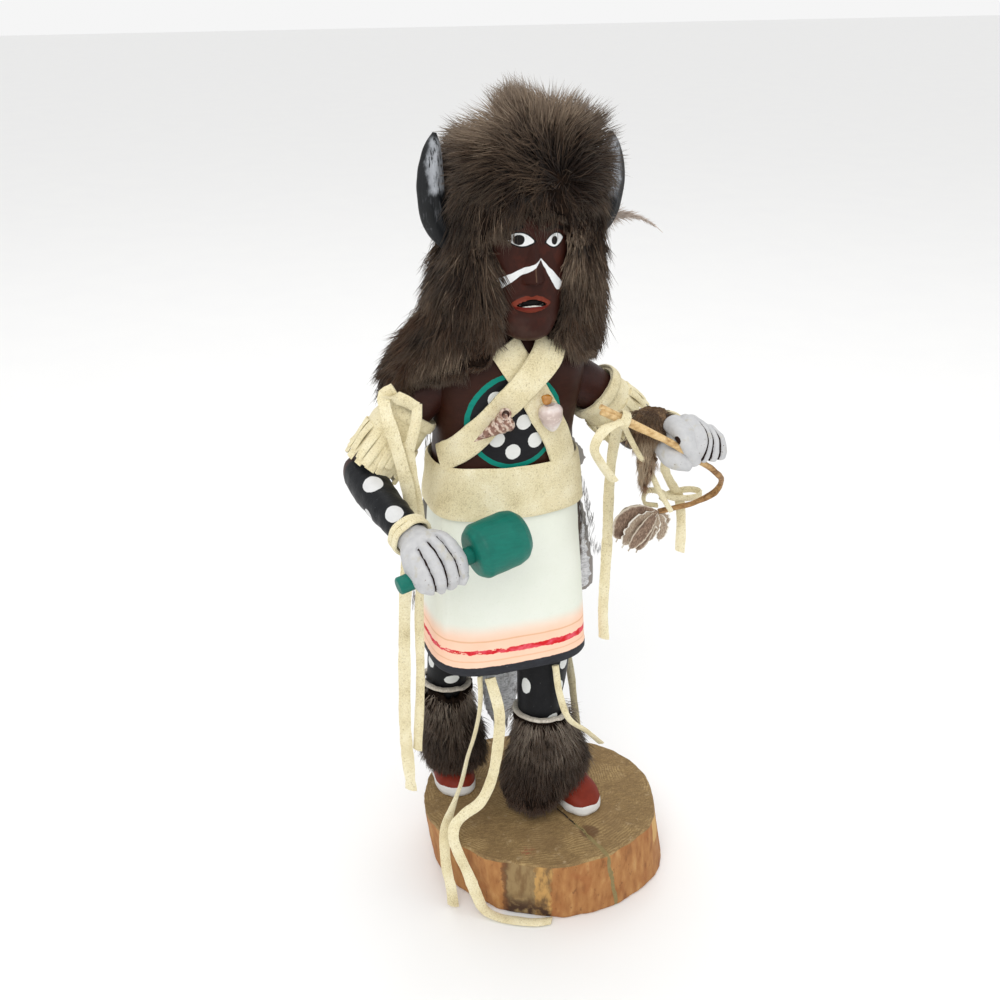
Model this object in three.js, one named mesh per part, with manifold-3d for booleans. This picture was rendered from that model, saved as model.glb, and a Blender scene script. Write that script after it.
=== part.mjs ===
// A carved and painted kachina doll with fur, suede and feather trimmings, on a slice of a branch.
// Millimetres, +Z up, the figure faces -Y; z = 0 is the underside of the base.
import * as THREE from 'three';
import { mergeVertices } from 'three/addons/utils/BufferGeometryUtils.js';
import Module from 'manifold-3d';

const wasm = await Module();
wasm.setup();

// ---- driving dimensions ----
const GAP = 0.32;                 // clearance between touching pieces
const BASE_H = 30;                // thickness of the wood slice
const BASE_R = 50.2;              // mean radius of the slice
const BASE_OVAL = 2.6;            // how much longer than round it is, each way
const BASE_OVAL_AT = -27;         // direction of the long way, degrees
const BASE_TOP = [15, -3.4];      // centre of the top face
const BASE_FOOT = [20, -3.1];     // centre of the underside: the branch was cut askew
const HEM_Z = 108.5;              // lower edge of the kilt
const SASH_Z = [177.5, 198.5];    // lower and upper edge of the waist sash
const SASH_T = 1.9;
const STRAP_W = 11;
const STRAP_T = 1.6;
const BAND_HOLE = 9.4;            // inside radius of the arm bands
const HEAD_AT = [3.6, -5.5];      // axis of the head
const HEAD_TURN = 5;              // the head looks a little to its right, degrees
const HORN_R = [5, 3.7];          // half width and half depth of a horn at its thickest
const HANDLE_R = 3.3;             // rattle handle
const RATTLE_R = 10.8;            // rattle head
const RATTLE_L = 23.6;
const RATTLE_DIR = [0.969, 0.153, 0.193];
const RATTLE_GRIP = [-40.7, -45, 174.4];
const BOW_R = 1.25;
const LACE_T = 1.5;               // thickness of the laces

const V = (x, y, z) => new THREE.Vector3(x, y, z);
const rad = (d) => d * Math.PI / 180;
const mix = (a, b, t) => a + (b - a) * t;
const RATTLE_AXIS = V(...RATTLE_DIR).normalize();
const VIEW_SIDE = V(0.94, -0.34, 0);   // the flat laces lie broadside to this

// ---- helpers ----
// A smooth value between the rows of a table whose first column is the position.
function along(rows, s) {
  let i = 0;
  while (i < rows.length - 2 && s > rows[i + 1][0]) i++;
  const slope = (k, c) => {
    const p = rows[Math.max(0, k - 1)], q = rows[Math.min(rows.length - 1, k + 1)];
    return (q[c] - p[c]) / (q[0] - p[0]);
  };
  const a = rows[i], b = rows[i + 1], h = b[0] - a[0];
  const t = Math.min(1, Math.max(0, (s - a[0]) / h)), u = 1 - t;
  return a.map((_, c) => a[c] * (1 + 2 * t) * u * u + b[c] * t * t * (3 - 2 * t)
    + h * (slope(i, c) * t * u * u - slope(i + 1, c) * t * t * u));
}

// Point of a rounded outline: n = 2 is an ellipse, larger n a rounder box.
function outline(phi, a, b, n) {
  const c = Math.cos(phi), s = Math.sin(phi);
  const r = Math.pow(Math.pow(Math.abs(c) / a, n) + Math.pow(Math.abs(s) / b, n), -1 / n);
  return [r * c, r * s];
}

function bare(g) {
  g.deleteAttribute('normal');
  g.deleteAttribute('uv');
  return mergeVertices(g, 1e-4);
}

function solid(g) {
  return new wasm.Manifold(new wasm.Mesh({
    numProp: 3,
    vertProperties: new Float32Array(g.getAttribute('position').array),
    triVerts: new Uint32Array(g.index.array),
  }));
}

function surface(m) {
  const mesh = m.getMesh();
  const g = new THREE.BufferGeometry();
  g.setAttribute('position', new THREE.BufferAttribute(new Float32Array(mesh.vertProperties), 3));
  g.setIndex(new THREE.BufferAttribute(new Uint32Array(mesh.triVerts), 1));
  return g;
}

// A closed skin: at(angle, t, k, j) gives each point of a capped cylinder's net.
function skin(sides, rows, at) {
  const g = bare(new THREE.CylinderGeometry(1, 1, 1, sides, rows));
  const p = g.getAttribute('position');
  const turn = 2 * Math.PI / sides;
  const point = (k, j) => at(k * turn, j / rows, k, j);
  for (let i = 0; i < p.count; i++) {
    const v = V(p.getX(i), p.getY(i), p.getZ(i));
    const j = Math.round((v.y + 0.5) * rows);
    const q = V(0, 0, 0);
    if (Math.hypot(v.x, v.z) < 0.5) {
      for (let k = 0; k < sides; k++) q.add(point(k, j));
      q.divideScalar(sides);
    } else {
      q.copy(point((Math.round(Math.atan2(v.x, v.z) / turn) + sides) % sides, j));
    }
    p.setXYZ(i, q.x, q.y, q.z);
  }
  return solid(g);
}

// Level sections [z, centre x, centre y, half x, half y, squareness], with steps between the rows.
function tower(rows, sides, steps, grow = 0, warp = null) {
  const levels = [];
  rows.forEach((r, i) => {
    if (i) for (let k = 1; k < steps; k++) levels.push(mix(rows[i - 1][0], r[0], k / steps));
    levels.push(r[0]);
  });
  const last = levels.length - 1;
  return skin(sides, last, (phi, t, k, j) => {
    const [, cx, cy, a, b, n] = along(rows, levels[j]);
    const [x, y] = outline(phi, a + grow, b + grow, n);
    const z = levels[j] + (j === 0 ? -grow : j === last ? grow : 0);
    const q = V(cx + x, cy + y, z);
    return warp ? warp(q, phi, levels[j]) : q;
  });
}

// A limb along a curve, with sections [t, half width, half depth, squareness]; the width lies along side.
const route = (points) => new THREE.CatmullRomCurve3(points.map((p) => V(...p)), false, 'centripetal');
function limb(points, girth, sides, steps, grow = 0, side = null, range = [0, 1]) {
  const curve = route(points);
  return skin(sides, steps, (phi, t) => {
    const s = mix(range[0], range[1], t);
    const at = curve.getPointAt(s), along1 = curve.getTangentAt(s);
    const e1 = (side ? (side.isVector3 ? side : side(s)) : V(0, 0, 1).cross(along1)).clone();
    e1.addScaledVector(along1, -e1.dot(along1)).normalize();
    const e2 = along1.clone().cross(e1);
    const [, a, b, n] = along(girth, s);
    const [x, y] = outline(phi, a + grow, b + grow, n);
    const push = t === 0 ? -grow : t === 1 ? grow : 0;
    return at.addScaledVector(e1, x).addScaledVector(e2, y).addScaledVector(along1, push);
  });
}

// ---- base ----
const BASE_LEVELS = [[0, -1], [1.6, 0.1], [28.8, 0], [BASE_H, -0.8]];   // height, how far it swells
const BASE_CUTS = [   // direction in degrees, half width in degrees, depth of each knife facet
  [-121, 17, 1.6], [-152, 13, 0.9], [-58, 14, 1.1], [-20, 16, 0.9], [64, 18, 1.2], [158, 14, 1],
];
function baseRadius(phi) {
  const oval = BASE_OVAL * Math.cos(2 * (phi - rad(BASE_OVAL_AT)));
  let r = BASE_R + oval + 0.7 * Math.cos(3 * phi) - 0.5 * Math.cos(5 * phi + 1);
  for (const [at, wide, deep] of BASE_CUTS) {
    const away = Math.abs(((phi * 180 / Math.PI - at) % 360 + 540) % 360 - 180) / wide;
    if (away < 1) r -= deep * (1 - away * away);
  }
  return r;
}
function baseShape() {
  return skin(28, BASE_LEVELS.length - 1, (phi, t, k, j) => {
    const [z, swell] = BASE_LEVELS[j];
    const r = baseRadius(phi) + swell;
    const cx = mix(BASE_FOOT[0], BASE_TOP[0], z / BASE_H);
    const cy = mix(BASE_FOOT[1], BASE_TOP[1], z / BASE_H);
    return V(cx + r * Math.cos(phi), cy + r * Math.sin(phi), z);
  });
}

// ---- body: torso, kilt, legs and moccasins in one ----
const TORSO = [   // height, centre, half width, half depth, squareness
  [HEM_Z, 0.4, 3, 32.4, 23, 3.3], [HEM_Z + 1.6, 0.4, 3, 33.2, 23.7, 3.3],
  [135, 0.2, 3, 32.2, 22.9, 3.2], [178, -0.2, 3, 29.6, 20.6, 3],
  [199, -0.2, 3, 28, 19.2, 2.6], [212, 0.3, 3, 27.9, 19.5, 2.5], [228, 1.3, 3, 30.4, 19.5, 2.5],
  [237, 2, 3, 29.4, 18.4, 2.4], [244, 2.5, 2.5, 23.4, 16, 2.3],
  [249, 2.9, 1.6, 15.4, 12.8, 2.1], [254, 3.2, 0, 9.5, 9.5, 2],
];
const torsoShape = (grow) => tower(TORSO, 24, 1, grow);
// The room that the neck and shoulders take under the fur hood.
const SHOULDER_ROOM = [[222, 1, 3, 55.4, 21, 2.6], [228.5, 1, 3, 50.6, 21.2, 2.8], [233, 1, 3, 39.6, 21.4, 2.4],
  [239, 1.6, 3, 32.6, 20.4, 2.4], [246, 2.6, 2, 25, 17, 2.2], [254, 3.2, 1, 13.5, 13, 2]];

const LEGS = {
  right: {
    path: [[-18, 16, 118], [-19, 20, 98], [-19.6, 22.6, 80], [-19.2, 23, 60], [-19, 23.5, 40]],
    foot: [-18.2, 20.5],
    turn: -3,
  },
  left: {
    path: [[15.4, -3.6, 118], [15.3, -4.6, 98], [14, -6, 79], [20, -5.5, 58], [27, -3.5, 40]],
    foot: [29.2, -10.5],
    turn: 17,
  },
};
const LEG_GIRTH = {
  right: [[0, 9.4, 9.4, 2], [0.3, 9, 9, 2], [0.55, 8.6, 8.6, 2], [0.85, 7.4, 7.4, 2], [1, 7.2, 7.6, 2]],
  left: [[0, 12, 11, 2], [0.18, 11.6, 10.6, 2], [0.34, 10.2, 9.8, 2], [0.5, 9.2, 9.2, 2], [0.85, 7.4, 7.4, 2],
    [1, 7.2, 7.6, 2]],
};
const FOOT = [   // height, shift forward, half width, half length, squareness
  [BASE_H + GAP, 0, 8.8, 13.9, 2.5], [BASE_H + 2, 0, 9.4, 14.6, 2.5],
  [BASE_H + 6.5, -0.6, 9.1, 13.7, 2.4], [BASE_H + 10.5, -3.4, 8, 10.2, 2.3], [BASE_H + 14, -5, 7, 7.4, 2.1],
];
function shoe(side, rows, sides, grow) {
  const { foot, turn } = LEGS[side];
  const c = Math.cos(rad(turn)), s = Math.sin(rad(turn));
  const sections = rows.map(([z, forward, w, l, n]) => [z, 0, -forward, w, l, n]);
  const place = (q) => V(foot[0] + q.x * c - q.y * s, foot[1] + q.x * s + q.y * c, q.z);
  return tower(sections, sides, 1, grow, place);
}
function legShape(side) {
  return limb(LEGS[side].path, LEG_GIRTH[side], 10, 4, 0, V(1, 0, 0)).add(shoe(side, FOOT, 14, 0));
}
// The room that a leg takes in the furs, a little wider than the leg.
function legRoom(side) {
  const leg = limb(LEGS[side].path, LEG_GIRTH[side], 8, 4, 3 * GAP, V(1, 0, 0));
  return leg.add(shoe(side, FOOT.slice(1), 10, 3 * GAP));
}
const bodyShape = () => torsoShape(0).add(legShape('right')).add(legShape('left'));

// ---- head ----
const turned = (q) => {
  const c = Math.cos(rad(-HEAD_TURN)), s = Math.sin(rad(-HEAD_TURN));
  return V(HEAD_AT[0] + q.x * c - q.y * s, HEAD_AT[1] + q.x * s + q.y * c, q.z);
};
const HEAD = [
  [249.6, 0, -12.4, 5, 4.6, 2.1], [251.4, 0, -10.6, 8.4, 8.6, 2.2], [255, 0, -7, 11.4, 12.6, 2.3],
  [260.4, 0, -3.2, 13.8, 16.2, 2.4], [267, 0, -1.4, 15.4, 17.6, 2.5], [275, 0, -0.6, 16.4, 18.2, 2.5],
  [284, 0, 0, 17, 19, 2.5], [293, 0, 0, 16.8, 18.6, 2.4], [302, 0, 0, 13.6, 15.2, 2.2],
  [308, 0, 0, 7.6, 8.4, 2.1], [310, 0, 0, 3, 3.4, 2],
];
const NOSE = [
  [271.4, 0, -17.2, 3.1, 3.4, 2.6], [272.4, 0, -17.6, 3.7, 4.6, 2.6], [276, 0, -17.6, 2.9, 3.7, 2.3],
  [280, 0, -17.8, 2, 2.6, 2.2], [283.6, 0, -17.8, 1.3, 1.7, 2],
];
const LIPS = [   // height, half width, depth in front of the face
  [261.1, 2.2, 0.3], [262.3, 5.2, 1.1], [263.6, 6.8, 1.5], [264.5, 7.1, 0.5],
  [265.4, 6.9, 1.5], [266.7, 4.8, 1.2], [267.8, 1.8, 0.3],
];
function headShape() {
  const lips = LIPS.map(([z, w, d]) => {
    const [, , cy, , b] = along(HEAD, z);
    return [z, 0, cy - b + 2.4 - d, w, 3, 2];
  });
  return tower(HEAD, 18, 1, 0, turned).add(tower(NOSE, 8, 1, 0, turned)).add(tower(lips, 10, 1, 0, turned));
}
const HEAD_ROOM = HEAD.filter((_, i) => ![1, 5, 9].includes(i));
const headRoom = () => tower(HEAD_ROOM, 14, 1, GAP + 1.1, turned);

// ---- horns ----
const HORNS = {
  right: [[-10, 4, 279], [-19, 4, 282.5], [-25.2, 4, 290], [-27.2, 4, 303], [-26.6, 4, 313], [-25.3, 4, 321]],
  left: [[18, 4, 279], [30, 4, 281], [39.5, 4, 287], [43.6, 4, 299], [43.9, 4, 309], [42.8, 4, 318.5]],
};
const HORN_GIRTH = [
  [0, 4.2, 3.6, 2.2], [0.3, 5, HORN_R[1], 2.2], [0.6, HORN_R[0], HORN_R[1], 2.2],
  [0.8, 4.1, 3.2, 2.2], [0.93, 2.5, 2.1, 2.1], [1, 0.7, 0.7, 2],
];
const hornShape = (side) => limb(HORNS[side], HORN_GIRTH, 8, 8, 0, V(1, 0, 0));
const hornRoom = (side) => limb(HORNS[side], HORN_GIRTH, 6, 3, 6 * GAP, V(1, 0, 0), [0, 0.68]);

// ---- arms ----
const ARMS = {
  right: {
    upper: [[-20, 3, 232], [-33, 3.2, 224], [-44.8, 3.5, 209], [-57.6, 2.8, 192.6]],
    fore: [[-57.4, 6.5, 195.6], [-55.4, -9, 191.4], [-51.8, -24, 187.4], [-48.6, -34, 184]],
    hand: [[-49, -33, 184.2], [-47, -38.4, 182], [-43.8, -44.2, 178.4], [-41.8, -46.6, 174.6],
      [-41.2, -46.4, 171.4], [-41.2, -45.8, 170]],
    grip: RATTLE_AXIS,
    thumb: [[-39, -44, 172], [-34.6, -48.6, 171.6], [-32.6, -50, 170.8]],
  },
  left: {
    upper: [[22, 3, 228], [35, 3.2, 221], [47, 3, 210], [57.4, 2, 198]],
    fore: [[57.6, 5.6, 197.4], [58, -6, 201.8], [57.4, -20, 207.4], [56.4, -29, 209.6]],
    hand: [[56.2, -28, 209.4], [56.6, -33, 210.4], [60.2, -38.6, 210.2], [63.6, -41.4, 207.2],
      [64.6, -42, 204.6], [64.6, -42, 203]],
    grip: V(0.84, 0.04, -0.54).normalize(),
    thumb: [[49.6, -38, 207.4], [52, -44, 205.2], [57.4, -46, 203.2]],
  },
};
const UPPER_GIRTH = [
  [0, 8, 8, 2], [0.25, 9.2, 9.2, 2], [0.6, 8.2, 8.2, 2], [0.96, 7.6, 7.6, 2.2], [1, 6.6, 6.6, 2.2],
];
const FORE_GIRTH = [[0, 6.8, 6.8, 2.4], [0.08, 7.5, 7.5, 2.4], [0.5, 7, 7, 2.2], [1, 6.1, 6.1, 2]];
const HAND_GIRTH = {
  right: [[0, 6.1, 5.8, 2], [0.17, 6.4, 6, 2], [0.32, 8.8, 7.6, 2.3], [0.5, 10.6, 8.4, 2.5],
    [0.7, 11.2, 8.2, 2.6], [0.92, 10.6, 6.8, 2.6], [1, 9.4, 5, 2.4]],
  left: [[0, 6, 5.8, 2], [0.2, 6.2, 6, 2], [0.34, 7.4, 7, 2.3], [0.5, 9.8, 7.8, 2.6],
    [0.7, 10.2, 7.8, 2.8], [0.92, 9.8, 6.4, 2.8], [1, 8.8, 5, 2.6]],
};
const THUMB_GIRTH = {
  right: [[0, 2.8, 2.8, 2.2], [0.6, 3, 3, 2.3], [1, 2.2, 2.2, 2.3]],
  left: [[0, 3.2, 3.2, 2.2], [0.5, 4.2, 4.2, 2.4], [1, 3.4, 3.4, 2.4]],
};
const upperShape = (side, grow) => limb(ARMS[side].upper, UPPER_GIRTH, 10, 4, grow, V(0, 1, 0));
const foreShape = (side, grow) => limb(ARMS[side].fore, FORE_GIRTH, 10, 2, grow);
const handRoom = (side) => limb(ARMS[side].hand, HAND_GIRTH[side], 8, 4, 4 * GAP, ARMS[side].grip);

// A fist: three grooves on its outer side part the fingers, from the knuckles on.
const FINGER_EDGES = [1, 0.85, 0.56, 0.48, 0.4, 0.1, 0.02, -0.06, -0.38, -0.46, -0.54, -0.85, -1];
const FINGER_GROOVES = [0.48, 0.02, -0.46];
const PALM_ANGLES = [-150, -120, -90, -60, -30];
const GROOVE_DEPTH = 1.3;
function handShape(side) {
  const { hand, grip } = ARMS[side];
  const curve = route(hand);
  return skin(FINGER_EDGES.length + PALM_ANGLES.length, 6, (phi, t, k) => {
    const along1 = curve.getTangentAt(t);
    const e1 = grip.clone().addScaledVector(along1, -grip.dot(along1)).normalize();
    const e2 = along1.clone().cross(e1);
    const [, a, b, n] = along(HAND_GIRTH[side], t);
    const f = FINGER_EDGES[k];
    let x, y;
    if (f === undefined) [x, y] = outline(rad(PALM_ANGLES[k - FINGER_EDGES.length]), a, b, n);
    else {
      const groove = FINGER_GROOVES.includes(f) && t > 0.3 ? GROOVE_DEPTH : 0;
      x = f * a;
      y = b * Math.pow(Math.max(0, 1 - Math.pow(Math.abs(f), n)), 1 / n) - groove;
    }
    return curve.getPointAt(t).addScaledVector(e1, x).addScaledVector(e2, y);
  });
}
const thumbShape = (side, grow) => limb(ARMS[side].thumb, THUMB_GIRTH[side], 7, 2, grow);
const armShape = (side) => [foreShape(side, 0), handShape(side), thumbShape(side, 0)]
  .reduce((a, b) => a.add(b), upperShape(side, 0));

// ---- rattle: turned handle and head ----
const RATTLE_NEAR = 12.8;         // from the middle of the grip to the near end of the head
const HANDLE_START = -17.2;
function onRattleAxis(g) {
  g.applyQuaternion(new THREE.Quaternion().setFromUnitVectors(V(0, 1, 0), RATTLE_AXIS));
  g.translate(...RATTLE_GRIP);
  return solid(g);
}
function rattleShape() {
  const h = HANDLE_R, r = RATTLE_R, near = RATTLE_NEAR, far = near + RATTLE_L;
  const profile = [[0, HANDLE_START], [h, HANDLE_START], [h, near + 1], [r - 3.4, near], [r - 2, near + 0.3],
    [r, near + 3.4], [r, far - 7], [r - 0.9, far - 3.6], [r - 3.4, far - 1.1], [r - 6.5, far - 0.2], [0, far]];
  return onRattleAxis(bare(new THREE.LatheGeometry(profile.map(([x, y]) => new THREE.Vector2(x, y)), 12)));
}
// The hole through the fist for the handle.
function handleHole() {
  const r = HANDLE_R + 1.5 * GAP;
  return onRattleAxis(bare(new THREE.CylinderGeometry(r, r, 60, 10)));
}

// ---- bow ----
const BOW = [
  [20.6, -46, 228.6], [31, -45.4, 222.8], [43, -45.6, 216], [51, -46.6, 211.2], [59.2, -46.6, 205],
  [65.6, -46, 200.6], [71.4, -43.8, 195.6], [75.6, -39.2, 190.8], [77, -35.2, 185.9], [75.9, -32.2, 181.7],
  [71.8, -30.2, 178.7], [66.8, -28.8, 177], [60.7, -27.8, 176], [55.4, -27.2, 175.3],
];
const BOW_GIRTH = [[0, 1.9, BOW_R, 2.4], [0.3, BOW_R, BOW_R, 2.2], [0.5, 1.3, 1.3, 2.2], [0.62, 1.8, 1.6, 2.2],
  [0.78, 1.7, 1.5, 2.2], [0.9, 1.3, 1.3, 2], [1, 1.2, 1.2, 2]];
const BOW_SIDE = V(0, 0.3, 1).normalize();
const round = (a, b = a) => [[0, a, b, 2], [1, a, b, 2]];
const bowShape = (grow) => limb(BOW, BOW_GIRTH, 6, 14, grow, BOW_SIDE);
const fistHole = () => limb(BOW, round(2.6, 2.5), 6, 5, 0, BOW_SIDE, [0.3, 0.66]);
const bowTie = () => limb(BOW, [[0, 3.4, 3, 2.4], [1, 3.4, 3, 2.4]], 8, 1, 0, BOW_SIDE, [0.078, 0.118]);

// ---- suede on the torso ----
function torsoPoint(phi, z, out) {
  const [, cx, cy, a, b, n] = along(TORSO, z);
  const [x, y] = outline(phi, a + out, b + out, n);
  return V(cx + x, cy + y, z);
}
// A strap lying on the torso through keys [t, angle, height]; lift raises it where it crosses the other one.
const STRAP_STEPS = 10;
const STRAP_ACROSS = 2;
function strap(keys, lift) {
  const place = (t) => {
    const [, angle, z] = along(keys, Math.min(1, Math.max(0, t)));
    return torsoPoint(rad(angle), z, 0);
  };
  return skin(2 * (STRAP_ACROSS + 1), STRAP_STEPS, (phi, t, k) => {
    const p = place(t);
    const dir = place(t + 0.01).sub(place(t - 0.01)).normalize();
    const normal = V(p.x - 1.5, (p.y - 3) * 1.6, 0).normalize();
    const cross = normal.clone().cross(dir).normalize();
    const outside = k <= STRAP_ACROSS;
    const w = 0.5 - (outside ? k : 2 * STRAP_ACROSS + 1 - k) / STRAP_ACROSS;
    const q = p.clone().addScaledVector(V(cross.x, cross.y, 0), w * STRAP_W);
    const height = Math.min(250, p.z + cross.z * w * STRAP_W);
    return torsoPoint(Math.atan2(q.y - 3, q.x - 1.2), height, 2 * GAP + lift(t) + (outside ? STRAP_T : 0));
  });
}
const bump = (t, at, wide, high) => high * Math.max(0, 1 - ((t - at) / wide) ** 2);
const STRAP_UNDER = [
  [0, -122, 246], [0.16, -112, 243], [0.36, -92, 234], [0.66, -64, 218], [0.87, -46, 206], [1, -38, 197],
];
const STRAP_OVER = [
  [0, -58, 247], [0.14, -66, 244.5], [0.32, -84, 236], [0.58, -114, 221], [0.8, -141, 208], [1, -163, 201],
];
const overLift = (t) => bump(t, 0.27, 0.3, STRAP_T + 2.5 * GAP);
const sashRows = TORSO.map(([z]) => z).filter((z) => z > SASH_Z[0] + 1 && z < SASH_Z[1] - 1);
function sashTower(grow, lap) {
  const rows = [SASH_Z[0] - lap, ...sashRows, SASH_Z[1] + lap].map((z) => {
    const [, cx, cy, a, b, n] = along(TORSO, z);
    return [z, cx, cy, a + grow, b + grow, n];
  });
  return tower(rows, 24, 1);
}

// ---- fur hood ----
const HOOD = [
  [226, -6.4, 8, 40, 18, 2.3], [230, -6, 7, 43.6, 22, 2.3], [238, -3.6, 6, 44, 24.4, 2.3],
  [248, 1, 5, 40.5, 26, 2.3],
  [260, 4.8, 4, 35.4, 27.4, 2.3], [276, 6.4, 3, 33.2, 28.4, 2.3], [294, 7.6, 3, 32, 28.6, 2.3],
  [308, 8.6, 3, 30.6, 27, 2.2], [320, 9.4, 3, 26, 22.6, 2.1], [328, 9.4, 3, 17, 15, 2], [331.4, 9.4, 3, 6, 5.6, 2],
];
const hoodShape = (grow) => tower(HOOD, 20, 1, grow);
const FACE_OPENING = [
  [212, 12, -36, 46, 30, 2.6], [227, 11, -36, 40, 27, 2.6], [235, 9, -36, 29, 26.6, 2.6],
  [242, 5.5, -36, 18.4, 26.4, 2.8], [250, 3.8, -36, 13.6, 26.4, 3],
  [284, 3.4, -36, 12.4, 26, 3], [292, 3.4, -36, 8, 24, 2.6],
];

const faceRoom = (grow) => tower(FACE_OPENING, 12, 1, grow);

// ---- back pelt ----
const PELT = [
  [48, 7.4, 27.6, 2.6, 1.8, 2.2], [58, 7.6, 28, 7.6, 2.6, 2.3], [78, 8, 29, 12.5, 3, 2.5],
  [104, 9, 30.6, 19, 3.4, 3],
  [116.5, 11.4, 31.4, 44.6, 3.5, 5], [122, 11.4, 31.4, 45.6, 3.6, 5], [150, 10.8, 30.6, 42, 3.7, 4],
  [180, 9.2, 29.2, 37.4, 3.8, 3.2], [224.6, 3, 28.2, 27, 2.6, 2.6],
];
const peltShape = (grow) => tower(PELT, 14, 1, grow, (q) => V(q.x, q.y - 0.0016 * (q.x - 6) * (q.x - 6), q.z));

// ---- ankle furs ----
const ANKLE_FUR = {
  right: [
    [40, -16.6, 21, 13.4, 12.2, 2.2], [44, -16.6, 21.2, 15, 13.6, 2.2], [56, -17.4, 21.8, 14.6, 13.8, 2.1],
    [70, -18.8, 22.4, 12, 12, 2], [84, -19.5, 22.2, 10, 10, 2],
  ],
  left: [
    [35.5, 8.5, -9.5, 12.5, 15.5, 2.2], [39.5, 10, -9, 14.4, 16.8, 2.2], [44, 14.5, -6.8, 18.6, 16, 2.1],
    [50, 17.2, -6.4, 20, 15.8, 2.1], [61, 17.4, -7, 17, 14.8, 2], [72, 15.8, -6.4, 13.6, 13.2, 2],
    [80.5, 14.6, -6.2, 11.8, 11.8, 2],
  ],
};
const ankleShape = (side, grow) => tower(ANKLE_FUR[side], 16, 1, grow);

// ---- arm bands ----
const BAND_GIRTH = {
  right: [[0, 11.7, 11.7, 2.2], [0.4, 11.7, 11.7, 2.2], [0.6, 11.5, 11.5, 2.2], [0.76, 12.2, 12.2, 2.2],
    [1, 12, 12, 2.2]],
  left: [[0, 11, 11, 2.2], [0.34, 11.8, 11.6, 2.2], [0.7, 12.4, 11.8, 2.2], [1, 12, 12, 2.2]],
};
const BAND_AT = { right: [0.39, 0.84], left: [0.4, 0.82] };
const BAND_SLITS = { right: [30, 100, 170, 300], left: [60, 150, 240] };   // degrees round the arm
function bandShape(side) {
  const [from, to] = BAND_AT[side];
  const tube = (girth, sides, past) =>
    limb(ARMS[side].upper, girth, sides, 2, 0, V(0, 1, 0), [from - past, to + past]);
  return tube(BAND_GIRTH[side], 12, 0).subtract(tube(round(BAND_HOLE), 10, 0.02));
}
// Slits that cut the lower edge of an arm band into a fringe.
function slits(side) {
  const curve = route(ARMS[side].upper), at = BAND_AT[side][1] - 0.02;
  const c = curve.getPointAt(at), dir = curve.getTangentAt(at);
  const e1 = V(0, 1, 0).addScaledVector(dir, -dir.y).normalize(), e2 = dir.clone().cross(e1);
  return BAND_SLITS[side].map(rad).map((angle) => {
    const out = e1.clone().multiplyScalar(Math.cos(angle)).addScaledVector(e2, Math.sin(angle));
    const g = bare(new THREE.BoxGeometry(0.6, 9, 8));
    g.applyMatrix4(new THREE.Matrix4().makeBasis(out.clone().cross(dir), out, dir));
    g.translate(...c.clone().addScaledVector(out, 12.5));
    return solid(g);
  });
}

// ---- wrist bands ----
const WRIST_W = 5.3;
const WRISTS = { right: [-48.7, -33.6, 184], left: [56.5, -27.2, 209.1] };   // middle of each band
function wristTube(side, width, radius) {
  const reach = route(ARMS[side].fore).getTangentAt(1).multiplyScalar(width / 2), at = V(...WRISTS[side]);
  const line = [at.clone().sub(reach), at, at.clone().add(reach)];
  return limb(line.map((q) => q.toArray()), round(radius), 10, 1);
}
const wristBand = (side) => wristTube(side, WRIST_W, 8.6).subtract(wristTube(side, WRIST_W + 2, 7.6));

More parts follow.
